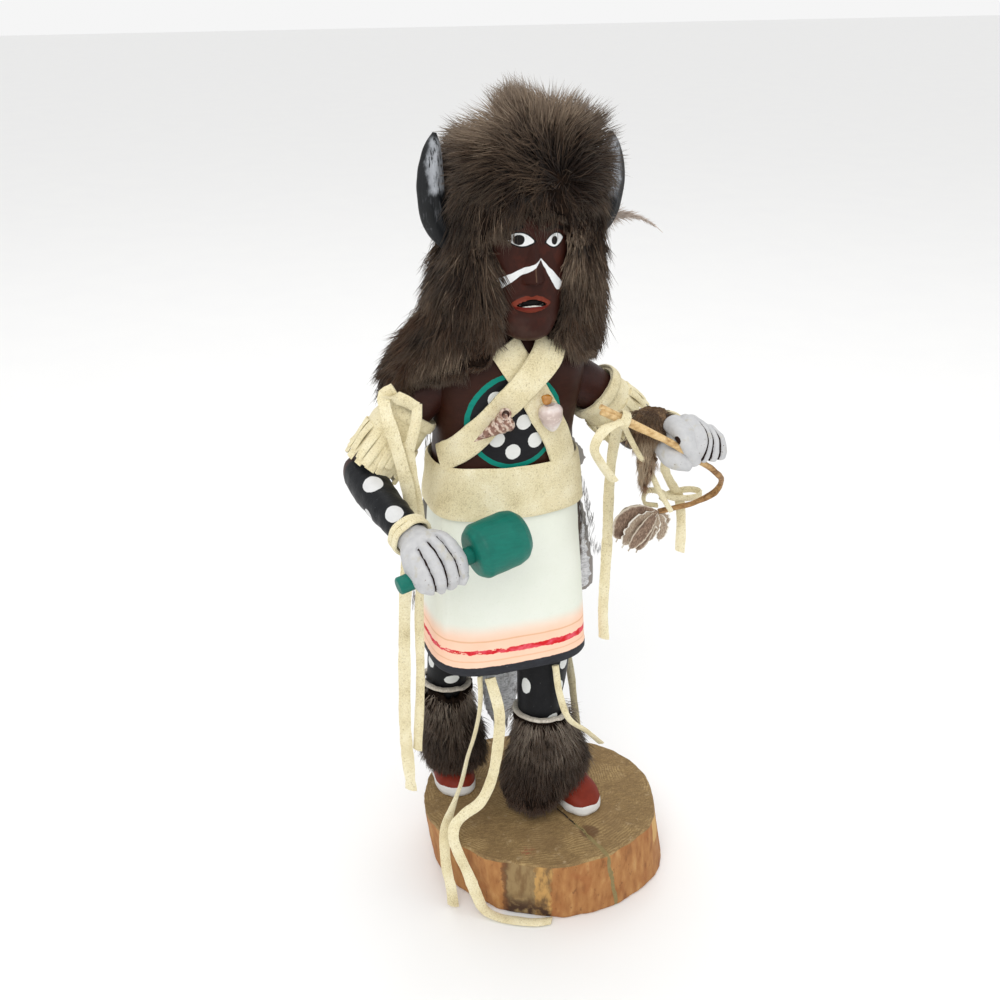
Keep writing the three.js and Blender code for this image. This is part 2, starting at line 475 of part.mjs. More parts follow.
// ---- laces ----
// Width, path and, where it turns, the direction that the width lies in, [t, x, y, z].
const LACES = {
  lace_a: {
    w: 4.9,
    path: [[-50, -12.5, 221], [-46.4, -15.4, 205], [-43.6, -16.6, 187], [-45.4, -16.4, 165], [-46.9, -15, 143],
      [-47.8, -14, 109], [-48.2, -14, 86], [-46.6, -14, 55.5]],
  },
  lace_b: {
    w: 3.7,
    path: [[-43, -12.8, 212], [-41.4, -15, 196], [-39.6, -16, 178], [-40.2, -15.5, 158], [-40.8, -14, 142],
      [-41.2, -14, 108], [-43.3, -14, 75]],
  },
  lace_c: {
    w: 4.2,
    path: [[42.6, -12.8, 208], [40.6, -13.6, 198.5], [39.6, -13.6, 184.7], [39.2, -14.5, 160], [38.8, -14.4, 141],
      [38.6, -14.4, 126], [39.4, -14.6, 113]],
  },
  lace_d: {
    w: 4.5,
    path: [[-16.2, -15.6, 106.6], [-16.7, -17, 93], [-19.4, -17.7, 80], [-22.6, -18.1, 70], [-26, -19.1, 57.5],
      [-30, -19.8, 47.8], [-34.4, -21.5, 37.1], [-35.4, -24.2, 29.6], [-35.4, -26.2, 21], [-34, -28, 10.6],
      [-33.4, -28.6, 1.4]],
    side: [[0, 0.7, 0.7, 0], [0.45, 0.7, 0.7, 0], [0.75, 0.94, -0.34, 0], [1, 0.94, -0.34, 0]],
  },
  lace_e: {
    w: 4.7,
    path: [[-12.3, -16.9, 105.3], [-9.4, -20, 90], [-9.8, -21, 79.3], [-13.8, -22.7, 58.8], [-19.4, -23.5, 48.6],
      [-26.3, -24.3, 45.2], [-31.2, -25.8, 41.6], [-32.4, -27.4, 36.4], [-30.9, -28.8, 29.6], [-27.6, -31.3, 20],
      [-24.9, -34.4, 10.6], [-22.2, -37.6, 3.6], [-17, -41.6, 1.2], [-9.8, -46.2, 1.2], [-3.4, -49.2, 1.2],
      [3.8, -50.6, 1.2]],
    side: [[0, 0.94, -0.34, 0], [0.3, 0.94, -0.34, 0], [0.4, 0.5, -0.5, -0.7], [0.5, 0.5, -0.5, -0.7],
      [0.57, 0.94, -0.34, 0], [0.74, 0.94, -0.2, 0.1], [0.82, 0.66, 0.74, 0.1], [1, 0.34, 0.94, 0]],
  },
  lace_f: {
    w: 3,
    path: [[16.4, -17.4, 106], [18, -18.8, 92.6], [22.2, -20, 79.6], [30.4, -19, 71.4], [41, -12, 58]],
  },
  lace_g: {
    w: 4,
    path: [[30.6, 9, 104], [33.6, 9.6, 90], [36, 9, 72], [38, 8, 52.5]],
    side: [[0, 0.6, -0.8, 0], [1, 0.6, -0.8, 0]],
  },
  lace_h: {
    w: 3.9,
    path: [[53.4, -34.8, 200], [54.8, -31.6, 195.4], [58.6, -27.6, 189.4], [62.6, -24.6, 183.8], [66, -23.2, 178.4],
      [67.4, -23, 172], [68.1, -23, 163], [68.2, -23, 153.4]],
  },
  tie_tail: {
    w: 3.6,
    path: [[27.4, -49, 224.4], [20, -50.4, 222.4], [16.6, -50, 216], [20.4, -48, 208.4], [26.6, -46, 200]],
  },
  bow_string: {
    w: 2.3,
    path: [[31, -42, 221], [38.6, -39, 208], [48.2, -34.6, 194], [52.4, -32.6, 186.6], [58.9, -30.9, 176.4]],
  },
  bow_loops: {
    w: 2.6,
    path: [[56, -24.4, 176.6], [50.4, -24, 178.4], [50.8, -24, 183.2], [55.4, -24.2, 183], [61, -25.8, 180],
      [68.2, -26.2, 178.8], [74.2, -25, 178.6], [76, -22.6, 178.9], [73.6, -20.4, 179.4], [68, -20, 179.6],
      [62, -20.4, 178.8], [58.8, -21.6, 177.4]],
    side: [[0, 0, 1, 0.4], [0.09, 0, 1, 0.4], [0.3, 0, 0.5, 0.86], [0.45, 0, 0.2, 1], [1, 0, 0.2, 1]],
  },
};
function laceShape(name, grow = 0) {
  const { w, path, side } = LACES[name];
  const steps = Math.max(4, Math.round(route(path).getLength() / (3 * w)));
  const facing = side ? (s) => V(...along(side, s).slice(1)).normalize() : VIEW_SIDE;
  return limb(path, [[0, w / 2, LACE_T / 2, 3], [1, w / 2, LACE_T / 2, 3]], 8, steps, grow, facing);
}

// ---- shells glued on the straps ----
const SHELL_PROFILE = [[0, 0], [0.16, 0.02], [0.42, 0.28], [0.74, 0.52], [1, 0.78], [0.86, 0.93], [0, 1]];
function shell(at, dir, length, radius) {
  const profile = SHELL_PROFILE.map(([x, y]) => new THREE.Vector2(x * radius, y * length));
  const g = bare(new THREE.LatheGeometry(profile, 8));
  g.scale(1, 1, 0.9);
  g.applyQuaternion(new THREE.Quaternion().setFromUnitVectors(V(0, 1, 0), V(...dir).normalize()));
  g.translate(...at);
  return solid(g);
}

// ---- tuft on the left forearm and feathers ----
const TUFT = [
  [191.5, 43.8, -37.4, 1.6, 1.2, 2], [196, 43.9, -37.4, 3.4, 1.8, 2.2], [202, 44.4, -37.2, 5, 2.2, 2.3],
  [208, 44.8, -36.8, 6.8, 2.8, 2.3], [213, 46, -34.6, 10, 5, 2.3], [216.5, 49, -30.4, 9, 7, 2.3],
  [219, 50, -27, 6.6, 6.4, 2.2],
];
const HAIR_FEATHER = [[36, 6, 284], [45, 4, 285], [55, 2.5, 282.6], [63, 1, 277.4]];
const HAIR_FEATHER_GIRTH = [
  [0, 6.5, 1.2, 2], [0.35, 5.6, 1.2, 2], [0.62, 3.4, 1, 2], [0.8, 0.8, 0.6, 2], [1, 0.4, 0.4, 2],
];
const BOW_FEATHERS = [[57, -29, 175.4], [53.4, -29.2, 173], [49.6, -29, 168.6], [47.4, -28.6, 163.6]];
const BOW_FEATHERS_GIRTH = [[0, 2.6, 2, 2], [0.3, 7.6, 3, 2.2], [0.7, 11.4, 3.2, 2.3], [1, 10.4, 1.8, 2.2]];

// ---- put together ----
const group = new THREE.Group();
group.name = 'kachina_doll';
function keep(name, shape, color, roughness = 0.95, metalness = 0) {
  const mesh = new THREE.Mesh(surface(shape), new THREE.MeshStandardMaterial({ color, roughness, metalness }));
  mesh.name = name;
  group.add(mesh);
}
const less = (shape, ...others) => others.reduce((a, b) => a.subtract(b), shape);
const SIDES = ['right', 'left'];
const SUEDE = 0xddd0a8, FUR = 0x4a3a30, SKIN = 0x351812, WOOD = 0xa9713f;

// Carved and turned wood.
keep('base', baseShape(), WOOD, 0.85);
keep('body', bodyShape(), 0xdfe2d6, 0.6);
keep('head', less(headShape(), torsoShape(GAP)), SKIN, 0.5);
for (const side of SIDES) keep(`${side}_horn`, less(hornShape(side), headRoom()), 0x1c1e20, 0.5);
keep('rattle', rattleShape(), 0x00806e, 0.45);
keep('bow', bowShape(0), 0xc09a60, 0.7);
keep('right_arm', less(armShape('right'), torsoShape(GAP), handleHole()), SKIN, 0.55);
keep('left_arm', less(armShape('left'), torsoShape(GAP), fistHole()), SKIN, 0.55);

// Suede.
const hoodRoom = hoodShape(GAP).subtract(faceRoom(-GAP));
const sashRoom = sashTower(SASH_T + 4 * GAP, GAP);
const underRoom = strap(STRAP_UNDER, () => 1.3 * GAP);
keep('waist_sash', sashTower(SASH_T + GAP, 0).subtract(sashTower(GAP, 1)), SUEDE);
keep('chest_strap_under', less(strap(STRAP_UNDER, () => 0), sashRoom, headRoom(), hoodRoom), SUEDE);
keep('chest_strap_over', less(strap(STRAP_OVER, overLift), sashRoom, headRoom(), hoodRoom, underRoom), SUEDE);
for (const side of SIDES) {
  keep(`${side}_arm_band`, less(bandShape(side), foreShape(side, GAP), torsoShape(GAP), ...slits(side)), SUEDE);
  keep(`${side}_wrist_band`, wristBand(side), SUEDE);
}
keep('bow_tie', less(bowTie(), bowShape(GAP)), SUEDE);
const tied = (name) => ['tie_tail', 'bow_string'].includes(name);
for (const name of Object.keys(LACES)) {
  keep(name, tied(name) ? less(laceShape(name), bowTie(), bowShape(GAP)) : laceShape(name), SUEDE);
}

// Shells.
const strapRoom = strap(STRAP_UNDER, () => GAP).add(strap(STRAP_OVER, (t) => overLift(t) + GAP));
const coneShell = shell([-19.2, -19.6, 211.6], [0.79, -0.14, 0.5], 17.5, 4.3);
const paleShell = shell([11.8, -21.2, 212.4], [-0.15, -0.05, 1], 11.4, 4.5);
keep('cone_shell', less(coneShell, strapRoom, torsoShape(GAP)), 0x8d5f4a, 0.35);
keep('pale_shell', less(paleShell, strapRoom, torsoShape(GAP)), 0xe3cfc4, 0.35);

// Furs and feathers.
for (const side of SIDES) keep(`${side}_ankle_fur`, less(ankleShape(side, 0), legRoom(side)), FUR);
const underHood = [headRoom(), tower(SHOULDER_ROOM, 12, 1, 0.6), hornRoom('right'), hornRoom('left')];
keep('fur_hood', less(hoodShape(0), ...underHood, faceRoom(0)), FUR);
const ankleRooms = SIDES.map((side) => ankleShape(side, GAP));
const legRooms = SIDES.map(legRoom);
const beforePelt = [torsoShape(GAP), ...legRooms, ...ankleRooms, hoodShape(GAP), sashRoom];
keep('back_pelt', less(peltShape(0), ...beforePelt), 0x8a8680);
const foreRoom = limb(ARMS.left.fore, FORE_GIRTH, 8, 2, 4 * GAP);
const cuffRoom = wristTube('left', WRIST_W + 2 * GAP, 9);
const bowRooms = [bowShape(0.9), laceShape('bow_string', GAP)];
const fistRoom = handRoom('left').add(thumbShape('left', 3 * GAP));
keep('arm_fur_tuft', less(tower(TUFT, 12, 1), foreRoom, fistRoom, ...bowRooms, cuffRoom), 0x8a7056);
const wisp = limb(HAIR_FEATHER, HAIR_FEATHER_GIRTH, 8, 7, 0, V(0, 0.3, 1));
keep('hair_feather', less(wisp, hoodShape(GAP), hornRoom('left')), 0x9b9186);
const bunch = limb(BOW_FEATHERS, BOW_FEATHERS_GIRTH, 10, 5, 0, V(0.7, 0, -0.72));
keep('bow_feathers', less(bunch, bowShape(GAP), laceShape('bow_string', GAP)), 0x8b7c6c);

export default group;
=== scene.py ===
# A carved and painted kachina doll with fur, suede and feather trimmings, on a slice of a branch.
# Sizes below are in millimetres, in the frame of the solids; meshes are made in metres.
import math
import bpy
import numpy as np
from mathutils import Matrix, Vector
from mathutils.kdtree import KDTree


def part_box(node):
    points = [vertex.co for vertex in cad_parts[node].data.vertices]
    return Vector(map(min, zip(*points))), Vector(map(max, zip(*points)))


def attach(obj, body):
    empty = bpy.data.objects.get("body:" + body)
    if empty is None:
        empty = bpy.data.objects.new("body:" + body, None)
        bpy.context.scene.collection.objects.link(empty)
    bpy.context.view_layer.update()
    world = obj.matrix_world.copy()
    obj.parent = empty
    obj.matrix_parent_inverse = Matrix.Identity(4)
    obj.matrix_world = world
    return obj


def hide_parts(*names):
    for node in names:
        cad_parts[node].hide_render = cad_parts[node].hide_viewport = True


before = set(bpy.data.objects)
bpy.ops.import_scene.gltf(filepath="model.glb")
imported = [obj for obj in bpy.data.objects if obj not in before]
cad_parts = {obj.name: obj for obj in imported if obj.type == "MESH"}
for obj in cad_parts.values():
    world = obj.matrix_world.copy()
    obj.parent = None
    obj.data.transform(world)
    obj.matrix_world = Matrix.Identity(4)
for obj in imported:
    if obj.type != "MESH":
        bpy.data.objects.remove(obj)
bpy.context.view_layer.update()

MM = 0.001
SCENE = bpy.context.scene
TAU = 2 * math.pi


# ---- camera ----
def make_camera():
    data = bpy.data.cameras.new("camera")
    data.sensor_width, data.lens = 36, 45
    data.clip_start, data.clip_end = 0.01, 20
    cam = bpy.data.objects.new("camera", data)
    cam.location = (-0.1520, -0.4352, 0.3820)
    cam.rotation_euler = (math.radians(66), 0, math.radians(-19))
    SCENE.collection.objects.link(cam)
    SCENE.camera = cam


make_camera()


# ---- curves, sections and nets ----
def along(rows, s):
    """A smooth value between the rows of a table whose first column is the position."""
    rows, s = np.asarray(rows, float), np.atleast_1d(np.asarray(s, float))
    i = np.clip(np.searchsorted(rows[:, 0], s, side="left") - 1, 0, len(rows) - 2)
    before = rows[np.maximum(np.arange(len(rows)) - 1, 0)]
    after = rows[np.minimum(np.arange(len(rows)) + 1, len(rows) - 1)]
    slope = (after - before) / (after - before)[:, :1]
    a, b = rows[i], rows[i + 1]
    h = (b[:, 0] - a[:, 0])[:, None]
    t = np.clip((s[:, None] - a[:, :1]) / h, 0, 1)
    u = 1 - t
    return (a * (1 + 2 * t) * u * u + b * t * t * (3 - 2 * t)
            + h * (slope[i] * t * u * u - slope[i + 1] * t * t * u))


def outline(phi, a, b, n):
    """Point of a rounded outline: n = 2 is an ellipse, larger n a rounder box."""
    c, s = np.cos(phi), np.sin(phi)
    r = ((np.abs(c) / a) ** n + (np.abs(s) / b) ** n) ** (-1 / n)
    return r * c, r * s


class Route:
    """A centripetal curve through points, by arc length from 0 to 1."""

    def __init__(self, points):
        p = np.asarray(points, float)
        p = np.vstack([2 * p[0] - p[1], p, 2 * p[-1] - p[-2]])
        out = []
        for i in range(1, len(p) - 2):
            p0, p1, p2, p3 = p[i - 1:i + 3]
            d0, d1, d2 = (max(1e-6, np.linalg.norm(b - a) ** 0.5) for a, b in ((p0, p1), (p1, p2), (p2, p3)))
            m1 = ((p1 - p0) / d0 - (p2 - p0) / (d0 + d1) + (p2 - p1) / d1) * d1
            m2 = ((p2 - p1) / d1 - (p3 - p1) / (d1 + d2) + (p3 - p2) / d2) * d1
            t = np.linspace(0, 1, 40, endpoint=False)[:, None]
            square, cube = 3 * (p2 - p1) - 2 * m1 - m2, 2 * (p1 - p2) + m1 + m2
            out.append(p1 + m1 * t + square * t ** 2 + cube * t ** 3)
        self.points = np.vstack(out + [p[-2:-1]])
        step = np.linalg.norm(np.diff(self.points, axis=0), axis=1)
        self.s = np.concatenate([[0], np.cumsum(step)])
        self.length = self.s[-1]
        self.s = self.s / self.length

    def at(self, s):
        return np.stack([np.interp(s, self.s, self.points[:, c]) for c in range(3)], -1)

    def tangent(self, s):
        s = np.asarray(s, float)
        d = self.at(np.minimum(1, s + 0.004)) - self.at(np.maximum(0, s - 0.004))
        return d / np.linalg.norm(d, axis=-1, keepdims=True)


def unit(v):
    return v / np.maximum(1e-12, np.linalg.norm(v, axis=-1, keepdims=True))


def dot(a, b):
    return (a * b).sum(-1, keepdims=True)


def around(count):
    return np.arange(count) * TAU / count


def spokes(e1, e2, phi):
    """Unit vectors at the angles phi, from e1 towards e2."""
    return e1 * np.cos(phi)[:, None] + e2 * np.sin(phi)[:, None]


OUTSIDE = 9.0   # a painted distance well outside its mark


class Shape:
    """Points in millimetres, faces as arrays of one size each, and a number per point for each paint."""

    def __init__(self, verts, faces, **paint):
        self.verts = np.asarray(verts, float).reshape(-1, 3)
        self.faces = [np.asarray(f, np.int64) for f in faces if len(f)]
        self.paint = {k: np.broadcast_to(np.asarray(v, float).ravel(), (len(self.verts),)).copy()
                      for k, v in paint.items()}

    def __add__(self, other):
        n, m = len(self.verts), len(other.verts)
        paint = {}
        for k in {**self.paint, **other.paint}:
            paint[k] = np.concatenate([self.paint.get(k, np.zeros(n)), other.paint.get(k, np.zeros(m))])
        return Shape(np.vstack([self.verts, other.verts]), self.faces + [f + n for f in other.faces], **paint)


def join(parts):
    """One shape from a list of shapes, their points in the given order."""
    whole = parts[0]
    for part in parts[1:]:
        whole = whole + part
    return whole


def quads(rows, cols, closed_rows=False):
    """Faces of a grid whose rows are rings, and whose last row meets the first where asked."""
    j = np.arange(rows if closed_rows else rows - 1)[:, None]
    k = np.arange(cols)[None, :]
    k2, j2 = (k + 1) % cols, (j + 1) % rows
    return np.stack([np.broadcast_to(x, np.broadcast_shapes(j.shape, k.shape)) for x in
                     (j * cols + k, j * cols + k2, j2 * cols + k2, j2 * cols + k)], -1).reshape(-1, 4)


def net(grid, **paint):
    """A closed skin over rings of points, with a point in the middle of each end."""
    grid = np.asarray(grid, float)
    rows, cols = grid.shape[:2]
    n = rows * cols
    k = np.arange(cols)
    low = np.stack([(k + 1) % cols, k, np.full(cols, n)], -1)
    high = np.stack([(rows - 1) * cols + k, (rows - 1) * cols + (k + 1) % cols, np.full(cols, n + 1)], -1)
    verts = np.vstack([grid.reshape(-1, 3), grid[0].mean(0), grid[-1].mean(0)])
    full = {}
    for name, v in paint.items():
        v = np.broadcast_to(np.asarray(v, float), (rows, cols))
        full[name] = np.concatenate([v.ravel(), [v[0].mean(), v[-1].mean()]])
    return Shape(verts, [quads(rows, cols), np.vstack([low, high])], **full)


def loop_net(grid, **paint):
    """A closed skin that wraps both ways, as a ring does."""
    rows, cols = grid.shape[:2]
    return Shape(grid.reshape(-1, 3), [quads(rows, cols, closed_rows=True)],
                 **{k: np.broadcast_to(v, (rows, cols)).ravel() for k, v in paint.items()})


def tower(rows, z, phi):
    """Level superellipse sections [z, centre x, centre y, half x, half y, squareness] as a grid."""
    r = along(rows, z)
    x, y = outline(phi[None, :], r[:, 3:4], r[:, 4:5], r[:, 5:6])
    return np.stack([r[:, 1:2] + x, r[:, 2:3] + y, np.broadcast_to(np.asarray(z)[:, None], x.shape)], -1)


def limb(points, girth, s, phi, side=None):
    """Rings [t, half width, half depth, squareness] along a curve; the width lies along side."""
    curve = points if isinstance(points, Route) else Route(points)
    s = np.asarray(s, float)
    at, dir_ = curve.at(s), curve.tangent(s)
    if side is None:
        e1 = np.cross(np.array([0.0, 0, 1]), dir_)
    elif callable(side):
        e1 = side(s)
    else:
        e1 = np.broadcast_to(np.asarray(side, float), dir_.shape)
    e1 = unit(e1 - dir_ * dot(e1, dir_))
    e2 = np.cross(dir_, e1)
    g = along(girth, s)
    x, y = outline(phi[None, :], g[:, 1:2], g[:, 2:3], g[:, 3:4])
    return at[:, None] + e1[:, None] * x[..., None] + e2[:, None] * y[..., None]


END_RINGS = 3


def rounded(grid, roll):
    """Closes both ends of a grid of rings with a small rounded edge."""
    def end(ring, next_ring):
        mid = ring.mean(0)
        out = unit((ring - next_ring).mean(0))
        r = roll * np.linalg.norm(ring - mid, axis=-1).mean()
        rings = []
        for i in range(1, END_RINGS + 1):
            a = i / END_RINGS * math.pi / 2
            shrink = 1 - roll * (1 - math.cos(a))
            rings.append(mid + (ring - mid) * shrink + out * r * math.sin(a) * 0.9)
        return rings
    return np.stack(end(grid[0], grid[1])[::-1] + list(grid) + end(grid[-1], grid[-2]))


def ripple(p, size, seed):
    """Smooth noise of about -1 to 1 at points p, with lumps of about the given size."""
    waves = 14
    rng = np.random.default_rng(seed)
    d = unit(rng.normal(size=(waves, 3)))
    k = TAU / size * rng.uniform(0.6, 1.3, waves)
    off = rng.uniform(0, TAU, waves)
    p = np.asarray(p, float)
    total = np.zeros(p.shape[:-1])
    for i in range(waves):
        total += np.sin((p @ d[i]) * k[i] + off[i])
    return total / math.sqrt(waves) * 0.8


def rise(x, a, b):
    """A smooth step from 0 at a to 1 at b."""
    t = np.clip((x - a) / (b - a), 0, 1)
    return t * t * (3 - 2 * t)


def segment_distance(p, a, b):
    """Distance of points p from the line from a to b, and how far along it they lie, 0 to 1."""
    a, b = np.asarray(a, float), np.asarray(b, float)
    ab = b - a
    t = np.clip(((p - a) @ ab) / (ab @ ab), 0, 1)
    return np.linalg.norm(p - a - t[..., None] * ab, axis=-1), t


# ---- materials ----
def rgb(r, g, b):
    """A linear colour from display values of 0 to 255."""
    def lin(c):
        c /= 255
        return c / 12.92 if c <= 0.04045 else ((c + 0.055) / 1.055) ** 2.4
    return (lin(r), lin(g), lin(b), 1)


class Mat:
    """A material of nodes in object space, where one unit of self.mm is one millimetre."""

    def __init__(self, name):
        self.material = bpy.data.materials.new(name)
        self.material.use_nodes = True
        self.tree = self.material.node_tree
        self.tree.nodes.clear()
        self.shader = self.add("ShaderNodeBsdfPrincipled")
        self.tree.links.new(self.shader.outputs[0], self.add("ShaderNodeOutputMaterial").inputs[0])
        scale = self.add("ShaderNodeVectorMath", operation="SCALE")
        self.tree.links.new(self.add("ShaderNodeTexCoord").outputs["Object"], scale.inputs[0])
        scale.inputs["Scale"].default_value = 1000
        self.mm = scale.outputs[0]
        self.normal = None

    def add(self, kind, **props):
        n = self.tree.nodes.new(kind)
        for k, v in props.items():
            setattr(n, k, v)
        return n

    def feed(self, socket, value):
        if hasattr(value, "is_output"):
            self.tree.links.new(value, socket)
        elif isinstance(value, (tuple, list)) and len(value) == 3 and socket.type == "RGBA":
            socket.default_value = (*value, 1)
        else:
            socket.default_value = value
        return socket

    def stretched(self, stretch, shift=(0, 0, 0)):
        n = self.add("ShaderNodeMapping")
        self.feed(n.inputs["Vector"], self.mm)
        n.inputs["Scale"].default_value = [1 / s for s in stretch]
        n.inputs["Location"].default_value = shift
        return n.outputs[0]

    def noise(self, size, detail=3.0, rough=0.55, stretch=(1, 1, 1), shift=(0, 0, 0), vector=None, warp=0.0):
        n = self.add("ShaderNodeTexNoise")
        self.feed(n.inputs["Vector"], vector or self.stretched(stretch, shift))
        for key, value in (("Scale", 1 / size), ("Detail", detail), ("Roughness", rough),
                           ("Distortion", warp)):
            n.inputs[key].default_value = value
        return n.outputs["Fac"]

    def cells(self, size):
        """The distance from the nearest of many scattered points."""
        n = self.add("ShaderNodeTexVoronoi")
        self.feed(n.inputs["Vector"], self.stretched((1, 1, 1)))
        n.inputs["Scale"].default_value = 1 / size
        return n.outputs["Distance"]

    def attr(self, name):
        return self.add("ShaderNodeAttribute", attribute_name=name).outputs["Fac"]

    def calc(self, op, a, b=0.0):
        n = self.add("ShaderNodeMath", operation=op)
        self.feed(n.inputs[0], a)
        self.feed(n.inputs[1], b)
        return n.outputs[0]

    def plus(self, a, b):
        return self.calc("ADD", a, b)

    def minus(self, a, b):
        return self.calc("SUBTRACT", a, b)

    def times(self, a, b):
        return self.calc("MULTIPLY", a, b)

    def sway(self, noise, swing):
        """A noise of 0 to 1 moved and scaled to vary about zero."""
        return self.times(self.minus(noise, 0.5), swing)

    def axis(self, number):
        """The x, y or z coordinate, in millimetres."""
        place = self.add("ShaderNodeSeparateXYZ")
        self.feed(place.inputs[0], self.mm)
        return place.outputs[number]

    def away(self, point):
        """The distance from a point, in millimetres."""
        gap = self.add("ShaderNodeVectorMath", operation="DISTANCE")
        self.feed(gap.inputs[0], self.stretched((1, 1, 1)))
        gap.inputs[1].default_value = point
        return gap.outputs["Value"]

    def span(self, value, lo, hi, to_lo=0.0, to_hi=1.0):
        n = self.add("ShaderNodeMapRange", interpolation_type="SMOOTHSTEP")
        for key, v in (("Value", value), ("From Min", lo), ("From Max", hi), ("To Min", to_lo),
                       ("To Max", to_hi)):
            self.feed(n.inputs[key], v)
        return n.outputs[0]

    def mix(self, fac, a, b):
        n = self.add("ShaderNodeMix", data_type="RGBA")
        self.feed(n.inputs[0], fac)
        self.feed(n.inputs[6], a)
        self.feed(n.inputs[7], b)
        return n.outputs[2]

    def tint(self, colour, other, mask, strength):
        """Mixes in another colour where the mask is 1, at the given strength."""
        return self.mix(self.times(mask, strength), colour, other)

    def ramp(self, fac, *stops):
        n = self.add("ShaderNodeValToRGB")
        while len(n.color_ramp.elements) < len(stops):
            n.color_ramp.elements.new(0.5)
        for e, (at, colour) in zip(n.color_ramp.elements, stops):
            e.position, e.color = at, colour
        self.feed(n.inputs[0], fac)
        return n.outputs[0]

    def painted(self, name, wobble, size):
        """1 where the painted distance is negative, with a hand-painted edge."""
        edge = self.sway(self.noise(size, 2), wobble * 2)
        return self.span(self.plus(self.attr(name), edge), 0.07, -0.07)

    def bump(self, height, depth, strength=1.0):
        """Raises the surface by height times depth millimetres in the shading."""
        n = self.add("ShaderNodeBump")
        n.inputs["Strength"].default_value = strength
        n.inputs["Distance"].default_value = depth * MM
        self.feed(n.inputs["Height"], height)
        if self.normal:
            self.feed(n.inputs["Normal"], self.normal)
        self.normal = n.outputs[0]
        return self

    def finish(self, colour, rough=0.7, **more):
        self.feed(self.shader.inputs["Base Color"], colour)
        self.feed(self.shader.inputs["Roughness"], rough)
        for key, value in more.items():
            self.feed(self.shader.inputs[key.replace("_", " ")], value)
        if self.normal:
            self.feed(self.shader.inputs["Normal"], self.normal)
        return self.material


def make(name, shape, material, replaces=(), crease=None):
    """A piece of the object from a shape, riding on its one body."""
    me = bpy.data.meshes.new(name)
    loops = np.concatenate([f.ravel() for f in shape.faces]).astype(np.int32)
    sizes = np.concatenate([np.full(len(f), f.shape[1]) for f in shape.faces])
    starts = np.concatenate([[0], np.cumsum(sizes)[:-1]]).astype(np.int32)
    me.vertices.add(len(shape.verts))
    me.vertices.foreach_set("co", (shape.verts * MM).astype(np.float32).ravel())
    me.loops.add(len(loops))
    me.loops.foreach_set("vertex_index", loops)
    me.polygons.add(len(sizes))
    me.polygons.foreach_set("loop_start", starts)
    me.update(calc_edges=True)
    me.validate()
    me.polygons.foreach_set("use_smooth", np.ones(len(me.polygons), bool))
    for key, values in shape.paint.items():
        me.attributes.new(key, "FLOAT", "POINT").data.foreach_set("value", values.astype(np.float32))
    if crease:
        me.set_sharp_from_angle(angle=math.radians(crease))
    me.materials.append(material)
    o = bpy.data.objects.new(name, me)
    SCENE.collection.objects.link(o)
    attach(o, "root")
    if replaces:
        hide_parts(*replaces)
    return o


# ---- materials of the pieces ----
def suede_material():
    m = Mat("suede")
    nap = m.noise(0.5, 4, 0.75)
    patches = m.noise(9, 3, 0.5)
    colour = m.ramp(m.plus(m.times(nap, 0.62), m.times(patches, 0.38)),
                    (0.32, rgb(190, 174, 132)), (0.46, rgb(228, 216, 176)), (0.58, rgb(240, 231, 198)),
                    (0.7, rgb(250, 244, 220)))
    specks = m.span(m.noise(0.8, 3, 0.7, shift=(7, 3, 1)), 0.57, 0.66)
    colour = m.tint(colour, rgb(166, 148, 104), specks, 0.5)
    tan = m.span(m.noise(14, 2, shift=(20, 0, 0)), 0.52, 0.72)
    colour = m.tint(colour, rgb(216, 200, 154), tan, 0.25)
    m.bump(m.plus(nap, m.times(m.noise(2.4, 3), 0.8)), 0.6, 0.7)
    return m.finish(colour, 0.95, Specular_IOR_Level=0.2, Sheen_Weight=0.12, Sheen_Roughness=0.5)


SUEDE = suede_material()


# ---- free laces and the bow's string ----
STRIP_T, RIBBON_STEP = 1.29, 1.5
VIEW_SIDE = (0.94, -0.34, 0)
